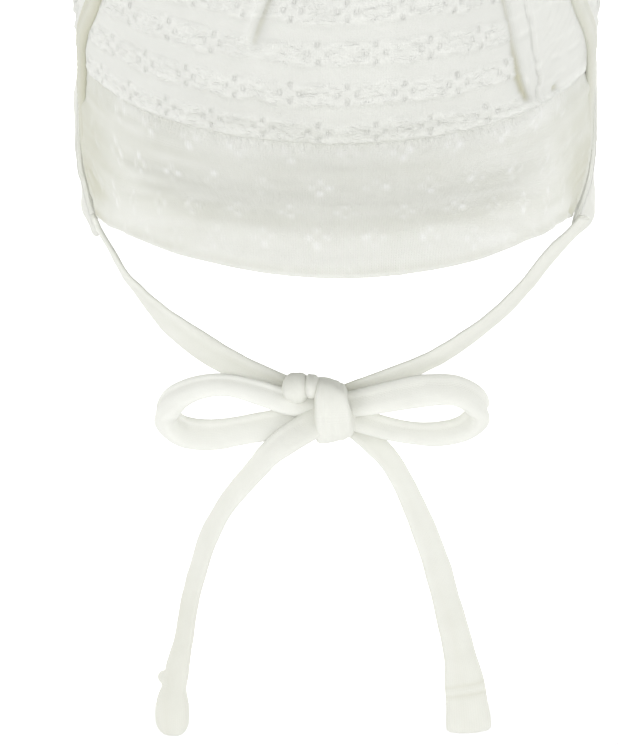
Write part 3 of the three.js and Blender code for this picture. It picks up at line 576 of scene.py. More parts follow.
def dome(azimuth, u):
    a = np.asarray(azimuth, float) * DEG
    c = np.cos(a)
    depth = np.where(c > 0, CROWN.read("front", u), CROWN.read("back", u))
    return np.stack([CROWN.read("half_width", u) * np.sin(a), -depth * c, CROWN.read("z", u) + GAP + 0 * a], -1)


def dome_normal(azimuth, u):
    along = dome(azimuth + 0.05, u) - dome(azimuth - 0.05, u)
    up = dome(azimuth, np.minimum(u + 1e-3, 0.999)) - dome(azimuth, np.maximum(u - 1e-3, 0.0))
    return unit(np.cross(along, up))


_u = np.linspace(0, 1, 2001)
_q = np.concatenate([[0], np.cumsum(np.linalg.norm(np.diff(dome(np.zeros_like(_u), _u), axis=0), axis=1))])
_az = np.linspace(-180, 180, 3601)
_ring = dome(_az, np.full_like(_az, 0.14))
_p = np.concatenate([[0], np.cumsum(np.linalg.norm(np.diff(_ring, axis=0), axis=1))])
ROUND = _p[-1]
_p = _p - np.interp(0.0, _az, _p)


def u_of(q):
    return np.interp(q, _q, _u)


def azimuth_of(p):
    return np.interp(p, _p, _az)


def band_azimuth(u):
    """Azimuth of the band's middle at each height, 0 above the arch's top."""
    y = SEAM["front"] * math.cos(BAND["azimuth"] * DEG)
    y = y + (BAND["arch_y"] - y) * smooth(0, BAND["lean_to"], u)
    return np.arccos(clamp(y / np.maximum(CROWN.read("front", u), 1e-6), -1, 1)) / DEG


P_TUCK, P_VALLEY = 2.7 - 36 * 0.65, 2.7 + 72 * 0.65  # the grid columns that lie in the two folds


def fold_place(p, q):
    """Where the cloth's columns lie round the dome: they follow the two folds, and the tuck takes up cloth from its left."""
    x = p - P_TUCK
    on = smooth(14, 24, q) * (1 - smooth(64, 80, q))
    take = 2.2 * smooth(20, 30, q) * (1 - smooth(60, 76, q))
    place = p + on * (LEFT_TUCK.read("p", q) - P_TUCK - 0.5 * take) * bell(x, 12.0)
    place = place + take * (smooth(-44, -4, x) - smooth(-3.6, 3.6, x))
    on = 1 - smooth(66, 84, q)
    return place + on * (RIGHT_VALLEY.read("p", q) - P_VALLEY) * bell(p - P_VALLEY, 11.0)


def row_of(q):
    return (q - MOTIF["first_row"]) / MOTIF["row_pitch"]


def band_mask(p, q, pitch):
    """How much of each place belongs to a raised band, its height above the band's middle, and how far it is from the diamonds."""
    row = row_of(q)
    k = np.round(row)
    wander = 0.7 * noise(p / 7.0, k * 3.7, 101) + 0.5 * noise(p / 2.2, k * 5.1 + q / 4.0, 102)
    dq = (row - k) * MOTIF["row_pitch"] + wander
    centre = np.where(k % 2 == 0, MOTIF["row_a_at"] - pitch / 2, MOTIF["row_a_at"])
    dp = (p - centre + pitch / 2) % pitch - pitch / 2
    beside = smooth(2.0, 4.0, np.abs(dp))
    raised = smooth(-3.3, -2.6, dq) * (1 - smooth(2.2, 3.3, dq)) * (k >= 0) * (1 - smooth(90, 104, q))
    if pitch == MOTIF["pitch"]:  # the front's panel past the right fold is plain
        raised = raised * (1 - smooth(P_VALLEY - 1.0, P_VALLEY + 1.0, p) * (1 - smooth(62, 80, q)))
    return raised, dq, beside, k


def crown_relief(p, q, pitch):
    """Height of the crown's surface above its plain dome, in mm, at p round from the front and q up from the seam."""
    raised, dq, beside, k = band_mask(p, q, pitch)
    h = raised * (0.38 + 0.2 * noise(p / 4.0, k * 2.3, 103))
    for level, size, seed in ((2.35, 0.34, 104), (0.25, 0.2, 105), (-2.5, 0.5, 106)):
        w = 0.6 * noise(p / 2.8, k * 4.1 + level, seed)
        strong = smooth(-0.55, 0.35, noise(p / 3.4, k * 6.3 + level, seed + 40))
        h = h + raised * size * bell(dq - level - w, 0.6) * (0.4 + 0.6 * beside) * (0.15 + 0.85 * strong)
    # crumpled cloth between the diamonds
    bend = 0.9 * noise(p / 3.0, q / 2.0, 113)
    folds = 1 - 2.2 * np.abs(noise(p / 2.6 + bend, q / 1.25 + 0.7 * bend, 114))
    h = h + raised * (0.15 + 0.85 * beside) * 0.16 * folds
    # soft unevenness of the worn cloth
    h = h + 0.5 * noise(p / 26.0, q / 19.0, 108) + 0.2 * noise(p / 9.0, q / 7.0, 109)
    h = h * smooth(-0.5, 4.0, q)
    # the seam at the lower edge: a rolled crinkly lip
    lip = 0.75 + 0.25 * noise(p / 1.5, 1.0, 111) + 0.25 * noise(p / 4.0, 2.0, 112)
    return h + lip * bell(q - 1.2, 1.1) - 0.5 * (1 - smooth(-1.0, 0.3, q))


def fold_relief(p, q, place):
    # left tuck: a narrow raised edge that leans over a groove on its right
    x = p - P_TUCK
    on = smooth(23.5, 27.5, q) * (1 - smooth(58, 74, q))
    grow = 0.6 + 0.4 * smooth(25, 34, q)
    ridge = np.where(x < -2.2, bell(x + 2.2, 2.4), bell(x + 2.2, 1.3))
    groove = np.where(x < 1.0, bell(x - 1.0, 1.3), bell(x - 1.0, 2.6))
    h = on * grow * (1.0 * ridge - 0.8 * groove)
    # right fold: a long valley, soft on its left and steep on its right, and a thin jagged line beyond it
    x = p - P_VALLEY
    on = smooth(0.5, 4.0, q) * (1 - smooth(62, 80, q))
    deep = 0.9 + 0.2 * smooth(24, 9, q)
    h = h - on * deep * np.where(x < 0, np.exp(-(np.abs(x) / 2.0) ** 1.25), bell(x, 1.05))
    h = h + on * 0.3 * smooth(0.5, 1.6, x) * (1 - smooth(1.8, 4.5, x))
    j = place - RIGHT_LINE.read("p", q) - 0.6 * noise(q / 1.5, 3.0, 121)
    h = h - on * 0.7 * bell(j, 0.5) + on * 0.25 * bell(j - 1.3, 0.8)
    h = h + 0.4 * np.exp(-((x - 1.9) / 0.8) ** 2 - ((q - 10.2) / 1.4) ** 2)  # a small lump on its edge
    # slanting drag lines on the panel past the fold
    slant = (place - 61.8) * 0.74 - (q - 15.8) + 1.5 * noise(place / 7.0, q / 7.0, 125)
    area = smooth(60.0, 63.0, place) * smooth(9.0, 14.0, q) * (1 - smooth(34, 42, q))
    h = h + area * 0.13 * (0.6 + 0.7 * noise(place / 5.0, q / 5.0, 126)) * np.sin(slant * 2 * math.pi / 3.4 + 0.8 * noise(place / 4.0, q / 4.0, 122))
    # a small dimple at the seam
    h = h - 1.0 * np.exp(-((place - 69.1) / 1.8) ** 2 - ((q - 2.4) / 1.3) ** 2)
    return h


def cloth_grid(p_lines, q_lines, pitch, columns_a, holes_in):
    """A grid of cloth with a diamond of four holes at each motif. columns_a is the grid line of a row-A motif's middle, and holes_in the rows of motifs that get holes.
    Returns p and q at each grid point and which cells are cloth."""
    ni, nj = len(p_lines), len(q_lines)
    P, Q = np.meshgrid(p_lines, q_lines, indexing="ij")
    cloth = np.ones((ni - 1, nj - 1), bool)
    per, row_cells = holes_in["per"], holes_in["row"]
    step_p, step_q = p_lines[1] - p_lines[0], q_lines[1] - q_lines[0]
    half_w, half_h = holes_in["cells"]
    for k in range(holes_in["first"], holes_in["last"] + 1):
        rc = holes_in["row0"] + row_cells * k  # the motif's middle, in cells (a half number)
        start = columns_a - (per // 2 if k % 2 == 0 else 0)
        for cc in range(start % per - per, ni + per, per):
            for dc, dr, ox, oy in ((-holes_in["dc"], 0, -MOTIF["across"], 0), (holes_in["dc"], 0, MOTIF["across"], 0),
                                   (0, holes_in["dr"], 0, MOTIF["up"]), (0, -holes_in["dr"], 0, -MOTIF["up"])):
                c, r = cc + dc, rc + dr
                c0, c1 = int(c - half_w), int(c + half_w)
                r0, r1 = int(round(r - half_h)), int(round(r + half_h))
                if c0 < 1 or c1 > ni - 2 or r0 < 1 or r1 > nj - 2:
                    continue
                if "bare" in holes_in and holes_in["bare"](p_lines[c0], q_lines[r0]):
                    continue
                cloth[c0:c1, r0:r1] = False
                pc = p_lines[0] + cc * step_p + ox
                qc = q_lines[0] + rc * step_q + oy
                size = 0.5 * (0.78 if k == 0 else 1.0)
                for i in range(c0, c1 + 1):
                    for jj in range(r0, r1 + 1):
                        if c0 < i < c1 and r0 < jj < r1:
                            continue
                        ang = math.atan2((jj - r) / half_h, (i - c) / half_w)
                        P[i, jj] = pc + size * MOTIF["hole_w"] * math.cos(ang)
                        Q[i, jj] = qc + size * MOTIF["hole_h"] * math.sin(ang)
    return P, Q, cloth


def shell(outer, floor, inner, panel, cloth, P, Q, crumple_and_shading, painted_shading, pits, wrap=False):
    """A panel of cloth as one closed skin: its face with holes, the holes' floors and its inner side."""
    ni, nj, _ = outer.shape
    base = np.arange(ni * nj).reshape(ni, nj)
    if wrap:
        base[-1] = base[0]
    count = ni * nj
    uv_at = np.stack([P, Q], -1)
    faces, uvs = [], []

    def skin(cells, layer, order):
        i, j = np.nonzero(cells)
        corners = [(0, 0), (1, 0), (1, 1), (0, 1)]
        faces.append(np.stack([base[i + corners[c][0], j + corners[c][1]] + layer * count for c in order], -1))
        uvs.append(np.stack([uv_at[i + corners[c][0], j + corners[c][1]] for c in order], 1))

    def wall(cells, beyond, upper, lower):
        """Walls from one layer down to another where the given cells end and the others begin."""
        around = np.zeros((ni + 1, nj + 1), bool)
        around[1:-1, 1:-1] = beyond
        if wrap:
            around[0, 1:-1], around[-1, 1:-1] = beyond[-1], beyond[0]
        else:
            around[0, :] = around[-1, :] = beyond is outside
        around[:, 0] = around[:, -1] = beyond is outside
        for di, dj, e0, e1 in ((0, -1, (0, 0), (1, 0)), (0, 1, (1, 1), (0, 1)), (-1, 0, (0, 1), (0, 0)), (1, 0, (1, 0), (1, 1))):
            ii, jj = np.nonzero(cells & around[1 + di:ni + di, 1 + dj:nj + dj])
            s, t = base[ii + e0[0], jj + e0[1]], base[ii + e1[0], jj + e1[1]]
            us, ut = uv_at[ii + e0[0], jj + e0[1]], uv_at[ii + e1[0], jj + e1[1]]
            faces.append(np.stack([t + upper * count, s + upper * count, s + lower * count, t + lower * count], -1))
            uvs.append(np.stack([ut, us, us, ut], 1))

    holes, outside = panel & ~cloth, ~panel
    skin(cloth, 0, (0, 1, 2, 3))
    skin(holes, 1, (0, 1, 2, 3))
    skin(panel, 2, (0, 3, 2, 1))
    wall(cloth, holes, 0, 1)
    wall(cloth, outside, 0, 2)
    wall(holes, outside, 1, 2)
    flat = np.concatenate([np.full(len(part), 3 <= k < 7) for k, part in enumerate(faces)])  # the holes' own walls
    faces, uvs = np.concatenate(faces), np.concatenate(uvs)
    points = np.concatenate([outer.reshape(-1, 3), floor.reshape(-1, 3), inner.reshape(-1, 3)])
    used = np.zeros(len(points), bool)
    used[faces] = True
    renumber = np.cumsum(used) - 1
    crumple_and_shading = np.concatenate([crumple_and_shading.ravel(), 0 * crumple_and_shading.ravel(), 0 * crumple_and_shading.ravel()])
    # painted shading on the face and on the holes' floors, none on the inner side
    painted_shading = np.concatenate([painted_shading.ravel(), pits.ravel(), 0 * painted_shading.ravel()])
    return points[used], renumber[faces], uvs, crumple_and_shading[used], painted_shading[used], flat


def hole_end(q):
    """0 at a diamond's side holes and 1 at its upper and lower holes."""
    row = row_of(q)
    return smooth(0.8, 1.6, np.abs(row - np.round(row)) * MOTIF["row_pitch"])


def hole_depth(q):
    return HOLE_DEEP["side"] + (HOLE_DEEP["end"] - HOLE_DEEP["side"]) * hole_end(q)


def hole_painted_shade(q):
    return HOLE_PAINTED_SHADE["side"] + (HOLE_PAINTED_SHADE["end"] - HOLE_PAINTED_SHADE["side"]) * hole_end(q)


def crown_shade(p, q, pitch):
    """How crumpled each place is, and its painted shading: painted light on the bands, along their edges and on the
    seam's lip, a touch of painted shade on the plain stripes, and a fine painted shade below the bands' edges.
    """
    raised, dq, beside, k = band_mask(p, q, pitch)
    low = smooth(-0.6, 0.5, noise(p / 4.5, k * 7.1, 171))
    high = smooth(-0.5, 0.6, noise(p / 4.0, k * 8.3, 172))
    painted_shading = 0.08 * (1 - raised) - 0.02 * raised
    painted_shading = painted_shading - 0.55 * low * bell(dq + 2.4, 0.6) - 0.4 * high * bell(dq - 2.3, 0.6) + 0.5 * low * bell(dq + 3.8, 0.5)
    crumple_and_shading = raised * (0.55 + 0.45 * beside)
    lip = bell(q - 1.2, 1.3)
    return np.maximum(crumple_and_shading, lip), painted_shading * (1 - lip) - 0.6 * lip


def fold_shade(p, q, place):
    """Painted shade inside the folds, deeper and more olive, and painted light on the tuck's edge."""
    x = p - P_TUCK
    on = smooth(24, 28, q) * (1 - smooth(58, 74, q))
    shade = on * (1.5 * np.where(x < 1.0, bell(x - 1.0, 1.2), bell(x - 1.0, 2.3)) - 0.6 * bell(x + 2.4, 1.7))
    x = p - P_VALLEY
    on = smooth(1.0, 5.0, q) * (1 - smooth(62, 80, q))
    shade = shade + on * (1.4 + 1.5 * smooth(24, 11, q)) * np.where(x < 0, bell(x, 1.3 + 0.7 * smooth(24, 11, q)), bell(x, 1.0))
    # the thin jagged line past the fold in painted shade, painted light on its edge, and painted shade along the
    # slanting lines of open work
    j = place - RIGHT_LINE.read("p", q) - 0.6 * noise(q / 1.5, 3.0, 121)
    shade = shade + on * (1.0 * bell(j, 0.5) * (0.7 + 0.6 * noise(q / 2.0, 5.0, 124)) - 0.5 * bell(j - 1.2, 0.7))
    # painted light on the small lump at the valley's edge
    shade = shade - 1.6 * np.exp(-((x - 1.9) / 0.8) ** 2 - ((q - 10.2) / 1.4) ** 2)
    slant = (place - 61.8) * 0.74 - (q - 15.8) + 1.5 * noise(place / 7.0, q / 7.0, 125)
    area = smooth(60.0, 63.0, place) * smooth(9.0, 14.0, q) * (1 - smooth(34, 42, q))
    line = np.sin(slant * 2 * math.pi / 3.4 + 0.8 * noise(place / 4.0, q / 4.0, 122))
    shade = shade + area * 0.35 * smooth(0.3, 1.0, -line) * (0.6 + 0.6 * noise(place / 2.0, q / 2.0, 123))
    # painted shade in the small dimple at the seam
    return shade + 2.6 * np.exp(-((place - 69.1) / 2.1) ** 2 - ((q - 2.4) / 1.1) ** 2)


def crown_front():
    step_p, step_q = MOTIF["pitch"] / CELLS["pitch"], MOTIF["row_pitch"] / CELLS["row"]
    q_top = float(np.interp(0.80, _u, _q))
    left = int(round((98.0 + MOTIF["row_a_at"]) / step_p))
    p_lines = MOTIF["row_a_at"] + (np.arange(2 * left + 1) - left) * step_p
    q_lines = (np.arange(int(q_top / step_q) + 4) - 2) * step_q
    row0 = round(MOTIF["first_row"] / step_q - 0.5) + 2.5

    def bare(p, q):  # no holes in the folds or on the panel past them
        return (abs(p - P_TUCK) < 4.6 and 21 < q < 76) or (p > P_VALLEY - 3.4 and q < 76)

    P, Q, cloth = cloth_grid(p_lines, q_lines, MOTIF["pitch"], left,
                             dict(per=CELLS["pitch"], row=CELLS["row"], row0=row0, first=0, last=9, cells=(1, 1.5), dc=4, dr=3, bare=bare))
    middle_p = 0.25 * (P[1:, 1:] + P[:-1, 1:] + P[1:, :-1] + P[:-1, :-1])
    middle_u = u_of(0.25 * (Q[1:, 1:] + Q[:-1, 1:] + Q[1:, :-1] + Q[:-1, :-1]))
    reach = np.interp(band_azimuth(middle_u), _az, _p)
    panel = np.abs(middle_p) < reach + 1.5
    cloth &= panel
    place_p = fold_place(P, Q)
    az, u = azimuth_of(place_p), u_of(Q)
    base, normal = dome(az, u), dome_normal(az, u)
    base[..., 2] += np.minimum(Q, 0)
    h = crown_relief(P, Q, MOTIF["pitch"]) + fold_relief(P, Q, place_p)
    # the cloth goes flat under the band
    into = np.abs(place_p) - np.interp(band_azimuth(u), _az, _p)
    under = smooth(-5.6, -3.6, into)
    h = h * (1 - 0.8 * under) - 0.8 * smooth(-2.5, -1.0, into)
    outer = base + normal * h[..., None]
    floor = base + normal * (h - hole_depth(Q))[..., None]
    inner = base + normal * (h - CROWN_THICK)[..., None]
    crumple_and_shading, painted_shading = crown_shade(P, Q, MOTIF["pitch"])
    return shell(outer, floor, inner, panel, cloth, P, Q, crumple_and_shading * (1 - under), painted_shading + fold_shade(P, Q, place_p), hole_painted_shade(Q) * (0.4 + 0.6 * smooth(-66, -44, P)))


def crown_back():
    per, row_cells = 12, 9
    pitch = ROUND / 33
    step_p, step_q = pitch / per, MOTIF["row_pitch"] / row_cells
    count = 33 * per
    start = -ROUND / 2
    columns_a = int(round((MOTIF["row_a_at"] - start) / step_p))
    p_lines = start + np.arange(count + 1) * step_p
    q_end, q_tip = (float(np.interp(v, _u, _q)) for v in (0.975, 0.9996))
    q_lines = np.arange(int(q_end / step_q) + 1) * step_q
    q_lines = np.concatenate([q_lines, np.linspace(q_lines[-1], q_tip, 5)[1:]])  # up to the tip
    row0 = round(MOTIF["first_row"] / step_q)
    P, Q, cloth = cloth_grid(p_lines, q_lines, pitch, columns_a,
                             dict(per=per, row=row_cells, row0=row0, first=0, last=8, cells=(1, 1), dc=2, dr=2))
    middle_p = 0.25 * (P[1:, 1:] + P[:-1, 1:] + P[1:, :-1] + P[:-1, :-1])
    middle_u = u_of(0.25 * (Q[1:, 1:] + Q[:-1, 1:] + Q[1:, :-1] + Q[:-1, :-1]))
    reach = np.interp(band_azimuth(middle_u), _az, _p)
    panel = (np.abs(middle_p) > reach - 1.2) | (middle_u > 0.80)
    cloth &= panel
    az, u = azimuth_of(P), u_of(Q)
    base, normal = dome(az, u), dome_normal(az, u)
    h = crown_relief(P, Q, pitch)
    # the ring closes on itself
    near = smooth(ROUND / 2 - 18, ROUND / 2, np.abs(P))
    mirrored = crown_relief(-P, Q, pitch)
    h = h * (1 - 0.5 * near) + mirrored * 0.5 * near
    calm = smooth(0.80, 0.95, u)
    h = h * (1 - calm) + calm * 0.35 * np.sin(az * DEG * 26) * smooth(1.0, 0.9, u)
    # cloth draws together at the top
    into = np.abs(P) - np.interp(band_azimuth(u), _az, _p)
    under = smooth(5.6, 3.6, into) * (u < 0.81)
    h = h * (1 - 0.8 * under) - 0.8 * smooth(2.5, 1.0, into) * (u < 0.81)
    outer = base + normal * h[..., None]
    floor = base + normal * (h - hole_depth(Q))[..., None]
    inner = base + normal * (h - CROWN_THICK)[..., None]
    crumple_and_shading, painted_shading = crown_shade(P, Q, pitch)
    return shell(outer, floor, inner, panel, cloth, P, Q, crumple_and_shading * (1 - calm) * (1 - under), painted_shading * (1 - calm), hole_painted_shade(Q), wrap=True)


points, faces, uv, crumple_and_shading, painted_shading, flat = crown_front()
crown_obj = place(mesh_object("crown_front_panel", points, faces, uv, pointelle_mat, crumple_and_shading=crumple_and_shading, painted_shading=painted_shading, flat=flat), "crown", "pointelle_jersey")
points, faces, uv, crumple_and_shading, painted_shading, flat = crown_back()
crown_back_obj = place(mesh_object("crown_back_panel", points, faces, uv, pointelle_mat, crumple_and_shading=crumple_and_shading, painted_shading=painted_shading, flat=flat), "crown", "pointelle_jersey")

# ------------------------------------------------------------------ visor and neck flap
VISOR_END, FLAP_START, FLAP_CORNER = 73.8, 78.8, 6.0
VISOR = Table("azimuth forward drop turn", [
    (-25, 30.5, 21.6, -7), (0, 36.5, 20.2, 0), (25, 30.5, 21.6, 7), (45, 17.0, 26.2, 14), (58, 6.5, 31.0, 25), (66, 2.0, 36.5, 40), (74, 0.0, 42.5, 60)])
VISOR_PROFILE = Table("s out down", [
    (0.0, 0.0, 0.0), (0.16, 0.165, 0.19), (0.30, 0.30, 0.345), (0.54, 0.57, 0.465), (0.70, 0.745, 0.55), (0.76, 0.805, 0.60), (0.82, 0.856, 0.69), (0.90, 0.928, 0.82), (0.96, 0.975, 0.925), (1.0, 0.99, 1.0)])
SIDE_HANG = Table("down out", [(0, 0.0), (15, 1.6), (30, 0.4), (46, -4.2), (60, -8.0)])
SIDE_FROM, SIDE_TO = 52.0, 112.0
FLAP = Table("azimuth drop flare", [(74, 51.0, 2.8), (90, 52.5, 3.6), (120, 55.0, 6.4), (150, 57.5, 8.5), (180, 58.0, 9.5)])
VISOR_THICK, FLAP_THICK = 2.2, 1.8


def seam_point(azimuth):
    a = azimuth * DEG
    c = np.cos(a)
    depth = np.where(c > 0, SEAM["front"], SEAM["back"])
    return np.stack([SEAM["half_width"] * np.sin(a), -depth * c, 0 * a], -1)


def seam_out(azimuth):
    a = azimuth * DEG
    c = np.cos(a)
    depth = np.where(c > 0, SEAM["front"], SEAM["back"])
    return unit(np.stack([np.sin(a) / SEAM["half_width"], -c / depth, 0 * a], -1))


def visor_point(azimuth, s):
    away = np.abs(azimuth)
    forward, drop = VISOR.read("forward", away), VISOR.read("drop", away)
    drop = drop + 1.4 * bell(azimuth + 41, 11.0) + 0.5 * bell(azimuth + 50, 5.5) + 2.5 * bell(azimuth + 57, 6.5) + 0.6 * bell(azimuth + 66, 5.0) + 0.5 * bell(azimuth - 30, 15.0) + 1.9 * bell(azimuth - 51, 9.0) - 0.9 * bell(azimuth - 51.5, 4.0) + 0.3 * (1 - smooth(25, 45, away))  # the left corner hangs lower
    turn = VISOR.read("turn", away) * DEG * np.sign(azimuth)
    arched = clamp(forward / 20, 0, 1)
    out = (s * (1 - arched) + VISOR_PROFILE.read("out", s) * arched) * forward
    down = (s * (1 - arched) + VISOR_PROFILE.read("down", s) * arched) * drop
    hang = SIDE_HANG.read("out", down) * smooth(SIDE_FROM, FLAP_START, away)
    hang = hang - 2.3 * bell(azimuth - 66, 7.0) * s * s  # and the right corner turns in
    return seam_point(azimuth) + np.stack([np.sin(turn) * out, -np.cos(turn) * out, -down], -1) + seam_out(azimuth) * hang[..., None]


def flap_point(azimuth, s):
    away = np.minimum(azimuth, 360 - azimuth)
    edge = (away - FLAP_START) * DEG * (SEAM["half_width"] + SEAM["back"]) / 2
    inset = np.maximum(0, FLAP_CORNER - edge)
    corner = FLAP_CORNER - np.sqrt(np.maximum(0, FLAP_CORNER ** 2 - inset ** 2))
    drop = (FLAP.read("drop", away) - 0.7 * corner) * s
    flare = FLAP.read("flare", away) * DEG * s
    hang = SIDE_HANG.read("out", drop)
    out = hang * (1 - smooth(FLAP_START, SIDE_TO, away)) + np.sin(flare) * drop
    return seam_point(azimuth) + seam_out(azimuth) * out[..., None] + np.stack([0 * out, 0 * out, -drop], -1)


def even_lines(point, start, end, s, step):
    a = np.linspace(start, end, 1500)
    p = point(a, np.full_like(a, s))
    arc = np.concatenate([[0], np.cumsum(np.linalg.norm(np.diff(p, axis=0), axis=1))])
    n = int(round(arc[-1] / step))
    return np.interp(np.linspace(0, arc[-1], n + 1), arc, a)


def doubled_cloth(point, lines, rows, thick, relief, rim=7):
    """A doubled cloth: an outer skin, a rounded hem and an inner skin, as closed loops along the azimuth lines. Returns loops and uv."""
    s = np.linspace(0, 1, rows + 1)
    A, S = np.meshgrid(lines, s, indexing="ij")
    base = point(A, S)
    depth = np.linalg.norm(np.diff(base, axis=1), axis=-1).sum(1)
    S = S * (1 - 0.5 * thick / depth)[:, None]
    base = point(A, S)
    along = point(A + 0.05, S) - point(A - 0.05, S)
    down = point(A, np.minimum(S + 1e-3, 1)) - point(A, np.maximum(S - 1e-3, 0))
    normal = unit(np.cross(down, along))
    D = np.concatenate([np.zeros((len(lines), 1)), np.cumsum(np.linalg.norm(np.diff(base, axis=1), axis=-1), axis=1)], 1)
    mid = np.argmin(np.abs(lines - lines.mean()))
    W = np.concatenate([np.zeros((1, rows + 1)), np.cumsum(np.linalg.norm(np.diff(base, axis=0), axis=-1), axis=0)], 0)
    W = W - W[mid][None, :]
    h_out, h_in = relief(W, D, D[:, -1:] - D, A)
    outer = base + normal * h_out[..., None]
    inner = base + normal * (h_in - thick)[..., None]
    # the top edge is tucked up inside the crown's lip
    tuck = 1 - smooth(0.0, 2.4, D)
    free = 1 - 0.9 * bell(np.minimum(A % 360, -A % 360) - 76, 6.0)  # but not beside the band
    lift = tuck[..., None] * (np.array([0.0, 0.0, 1.3]) - 0.8 * free[..., None] * seam_out(A))
    outer, inner = outer + lift, inner + lift
    # the hem turns round in a half circle
    tip_dir = unit(down[:, -1])
    centre = 0.5 * (outer[:, -1] + inner[:, -1])
    radius = 0.5 * np.linalg.norm(outer[:, -1] - inner[:, -1], axis=-1)
    n_tip = unit(outer[:, -1] - inner[:, -1])
    turn = np.linspace(0, math.pi, rim + 2)[1:-1]
    tip = centre[:, None, :] + radius[:, None, None] * (np.cos(turn)[None, :, None] * n_tip[:, None, :] + np.sin(turn)[None, :, None] * tip_dir[:, None, :])
    loops = np.concatenate([outer, tip, inner[:, ::-1]], 1)
    return loops, W, D


def loops_to_mesh(loops, along):
    around = np.concatenate([np.zeros((len(loops), 1)), np.cumsum(np.linalg.norm(np.diff(loops, axis=1), axis=-1), axis=1)], 1)
    n, m, _ = loops.shape
    points, faces, uv = loops_mesh(loops, along, around)
    return points, faces, uv[..., ::-1]


# where the visor turns down towards its hem, as a share of its depth
HEM_CREASE = Table("azimuth s", [(-74, 0.88), (-44, 0.804), (-25.6, 0.756), (-4.8, 0.688), (15.2, 0.692), (34.4, 0.768), (50.6, 0.84), (74, 0.9)])
VISOR_ROWS = dict(depths=(2.8, 13.3, 23.6, 32.6, 43.2), across=14.1, row_a_at=2.8)


def visor_motifs(w, d):
    """Small lumps of the pointelle where the second layer closes its holes."""
    h = np.zeros_like(w)
    for k in range(5):
        dq = d - VISOR_ROWS["depths"][k]
        shift = VISOR_ROWS["row_a_at"] + (0 if k % 2 == 0 else -0.5 * VISOR_ROWS["across"])
        cell = np.round((w - shift) / VISOR_ROWS["across"])
        dp = (w - shift) - cell * VISOR_ROWS["across"] + 0.5 * noise(cell * 3.1, k * 2.7, 131)
        strength = 0.75 + 0.35 * noise(cell * 1.7, k * 4.3, 132)
        for i, (ox, oy) in enumerate(((-2.0, 0), (2.0, 0), (0, 2.0), (0, -2.0))):
            stray = 0.5 * noise(cell * 2.37 + i * 7.3, k * 3.9, 133)
            own = clamp(0.95 + 0.5 * noise(cell * 3.71 + i * 5.3, k * 1.9, 134), 0.5, 1.3)
            rr = np.sqrt(((dp - ox - stray) / 1.2) ** 2 + ((dq - oy + 0.7 * stray) / 1.05) ** 2)
            h = h + strength * own * (np.exp(-rr ** 2) - 0.12 * np.exp(-((rr - 1.75) / 0.5) ** 2))
    return h


def visor_relief(w, d, to_edge, azimuth):
    away = np.abs(azimuth)
    motifs = visor_motifs(w, d)
    puckers = np.sin(2 * math.pi * (w / 1.42 + 0.35 * noise(w / 5.0, 2.0, 141))) * (0.6 + 0.4 * noise(w / 3.0, 5.0, 142))
    seam = 0.20 * puckers * np.exp(-d / 2.6)
    waves = (0.3 * noise(w / 24.0, d / 16.0, 143) + 0.12 * noise(w / 13.0, d / 4.5, 144)) * smooth(0, 6, d)
    level = 0.45 * noise(w / 17.0, d / 2.6, 145) * smooth(25, 50, away) + 0.12 * noise(w / 12.0, d / 2.1, 146)
    edge = 0.35 * bell(to_edge - 2.2, 1.4) * (0.5 + 0.5 * noise(w / 9.0, 1.0, 147))
    fine = 0.04 * noise(w / 0.8, d / 2.2, 148)
    h = seam + 0.24 * motifs * smooth(0.5, 2.0, d) + waves + level + edge + fine
    inside = waves * 0.8
    return h, inside


lines = even_lines(visor_point, -VISOR_END, VISOR_END, 0.6, 0.42)
loops, W, D = doubled_cloth(visor_point, lines, 62, VISOR_THICK, visor_relief)
points, faces, uv = loops_to_mesh(loops, W[:, 30])
rows = loops.shape[1]
# painted shading on the visor: painted shade over the middle above the hem's crease, in the crease, along the hem's
# edge, towards the left and at both side corners, and painted shade and light along soft lines; painted light below the
# crown's lip and past the crease; painted highlights on the lumps
painted_shading = np.zeros((len(lines), rows))
to_edge = D[:, -1:] - D
past_crease = smooth(-0.035, 0.035, D / D[:, -1:] - HEM_CREASE.read("s", lines)[:, None])
tufts = clamp(visor_motifs(W, D), 0, 1) * (1 - 0.6 * smooth(48, 64, np.abs(lines)))[:, None]
hairs = np.sin(2 * math.pi * (W / 0.98 + 0.3 * noise(W / 3.0, D / 2.0, 135)))
tufts = tufts * clamp(0.65 + 0.4 * hairs + 0.5 * noise(W / 1.3, D / 1.9, 149), 0, 1.5)
soft_lines = 0.3 * noise(W / 16.0, D / 1.9, 150) * smooth(16, 46, np.abs(W))
crease_shade = 0.5 * bell(to_edge - 12.0, 3.5) * (1 - smooth(30, 50, np.abs(lines)))[:, None]
painted_shading[:, :W.shape[1]] = (0.12 * (1 - past_crease) * smooth(3, 9, D) - 0.35 * (1 - smooth(2, 9, D)) - 0.15 * past_crease + crease_shade + 0.6 * (1 - smooth(0.2, 2.4, to_edge)) - (1.5 - 0.5 * past_crease) * tufts + soft_lines + 0.3 * smooth(18, 45, -lines)[:, None] + (0.65 * smooth(50, 66, -lines) + 0.8 * smooth(48, 66, lines))[:, None] * (1 + 0.6 * smooth(12, 26, D)))
# puckered strokes along the seam, as bump with painted highlights on their ridges
strokes = np.zeros_like(painted_shading)
strokes[:, :W.shape[1]] = 0.7 * np.exp(-D / 2.6)
visor_obj = place(mesh_object("visor_cloth", points, faces, uv, doubled_mat, painted_shading=painted_shading.ravel(), crumple_and_shading=strokes.ravel()), "visor", "doubled_jersey")


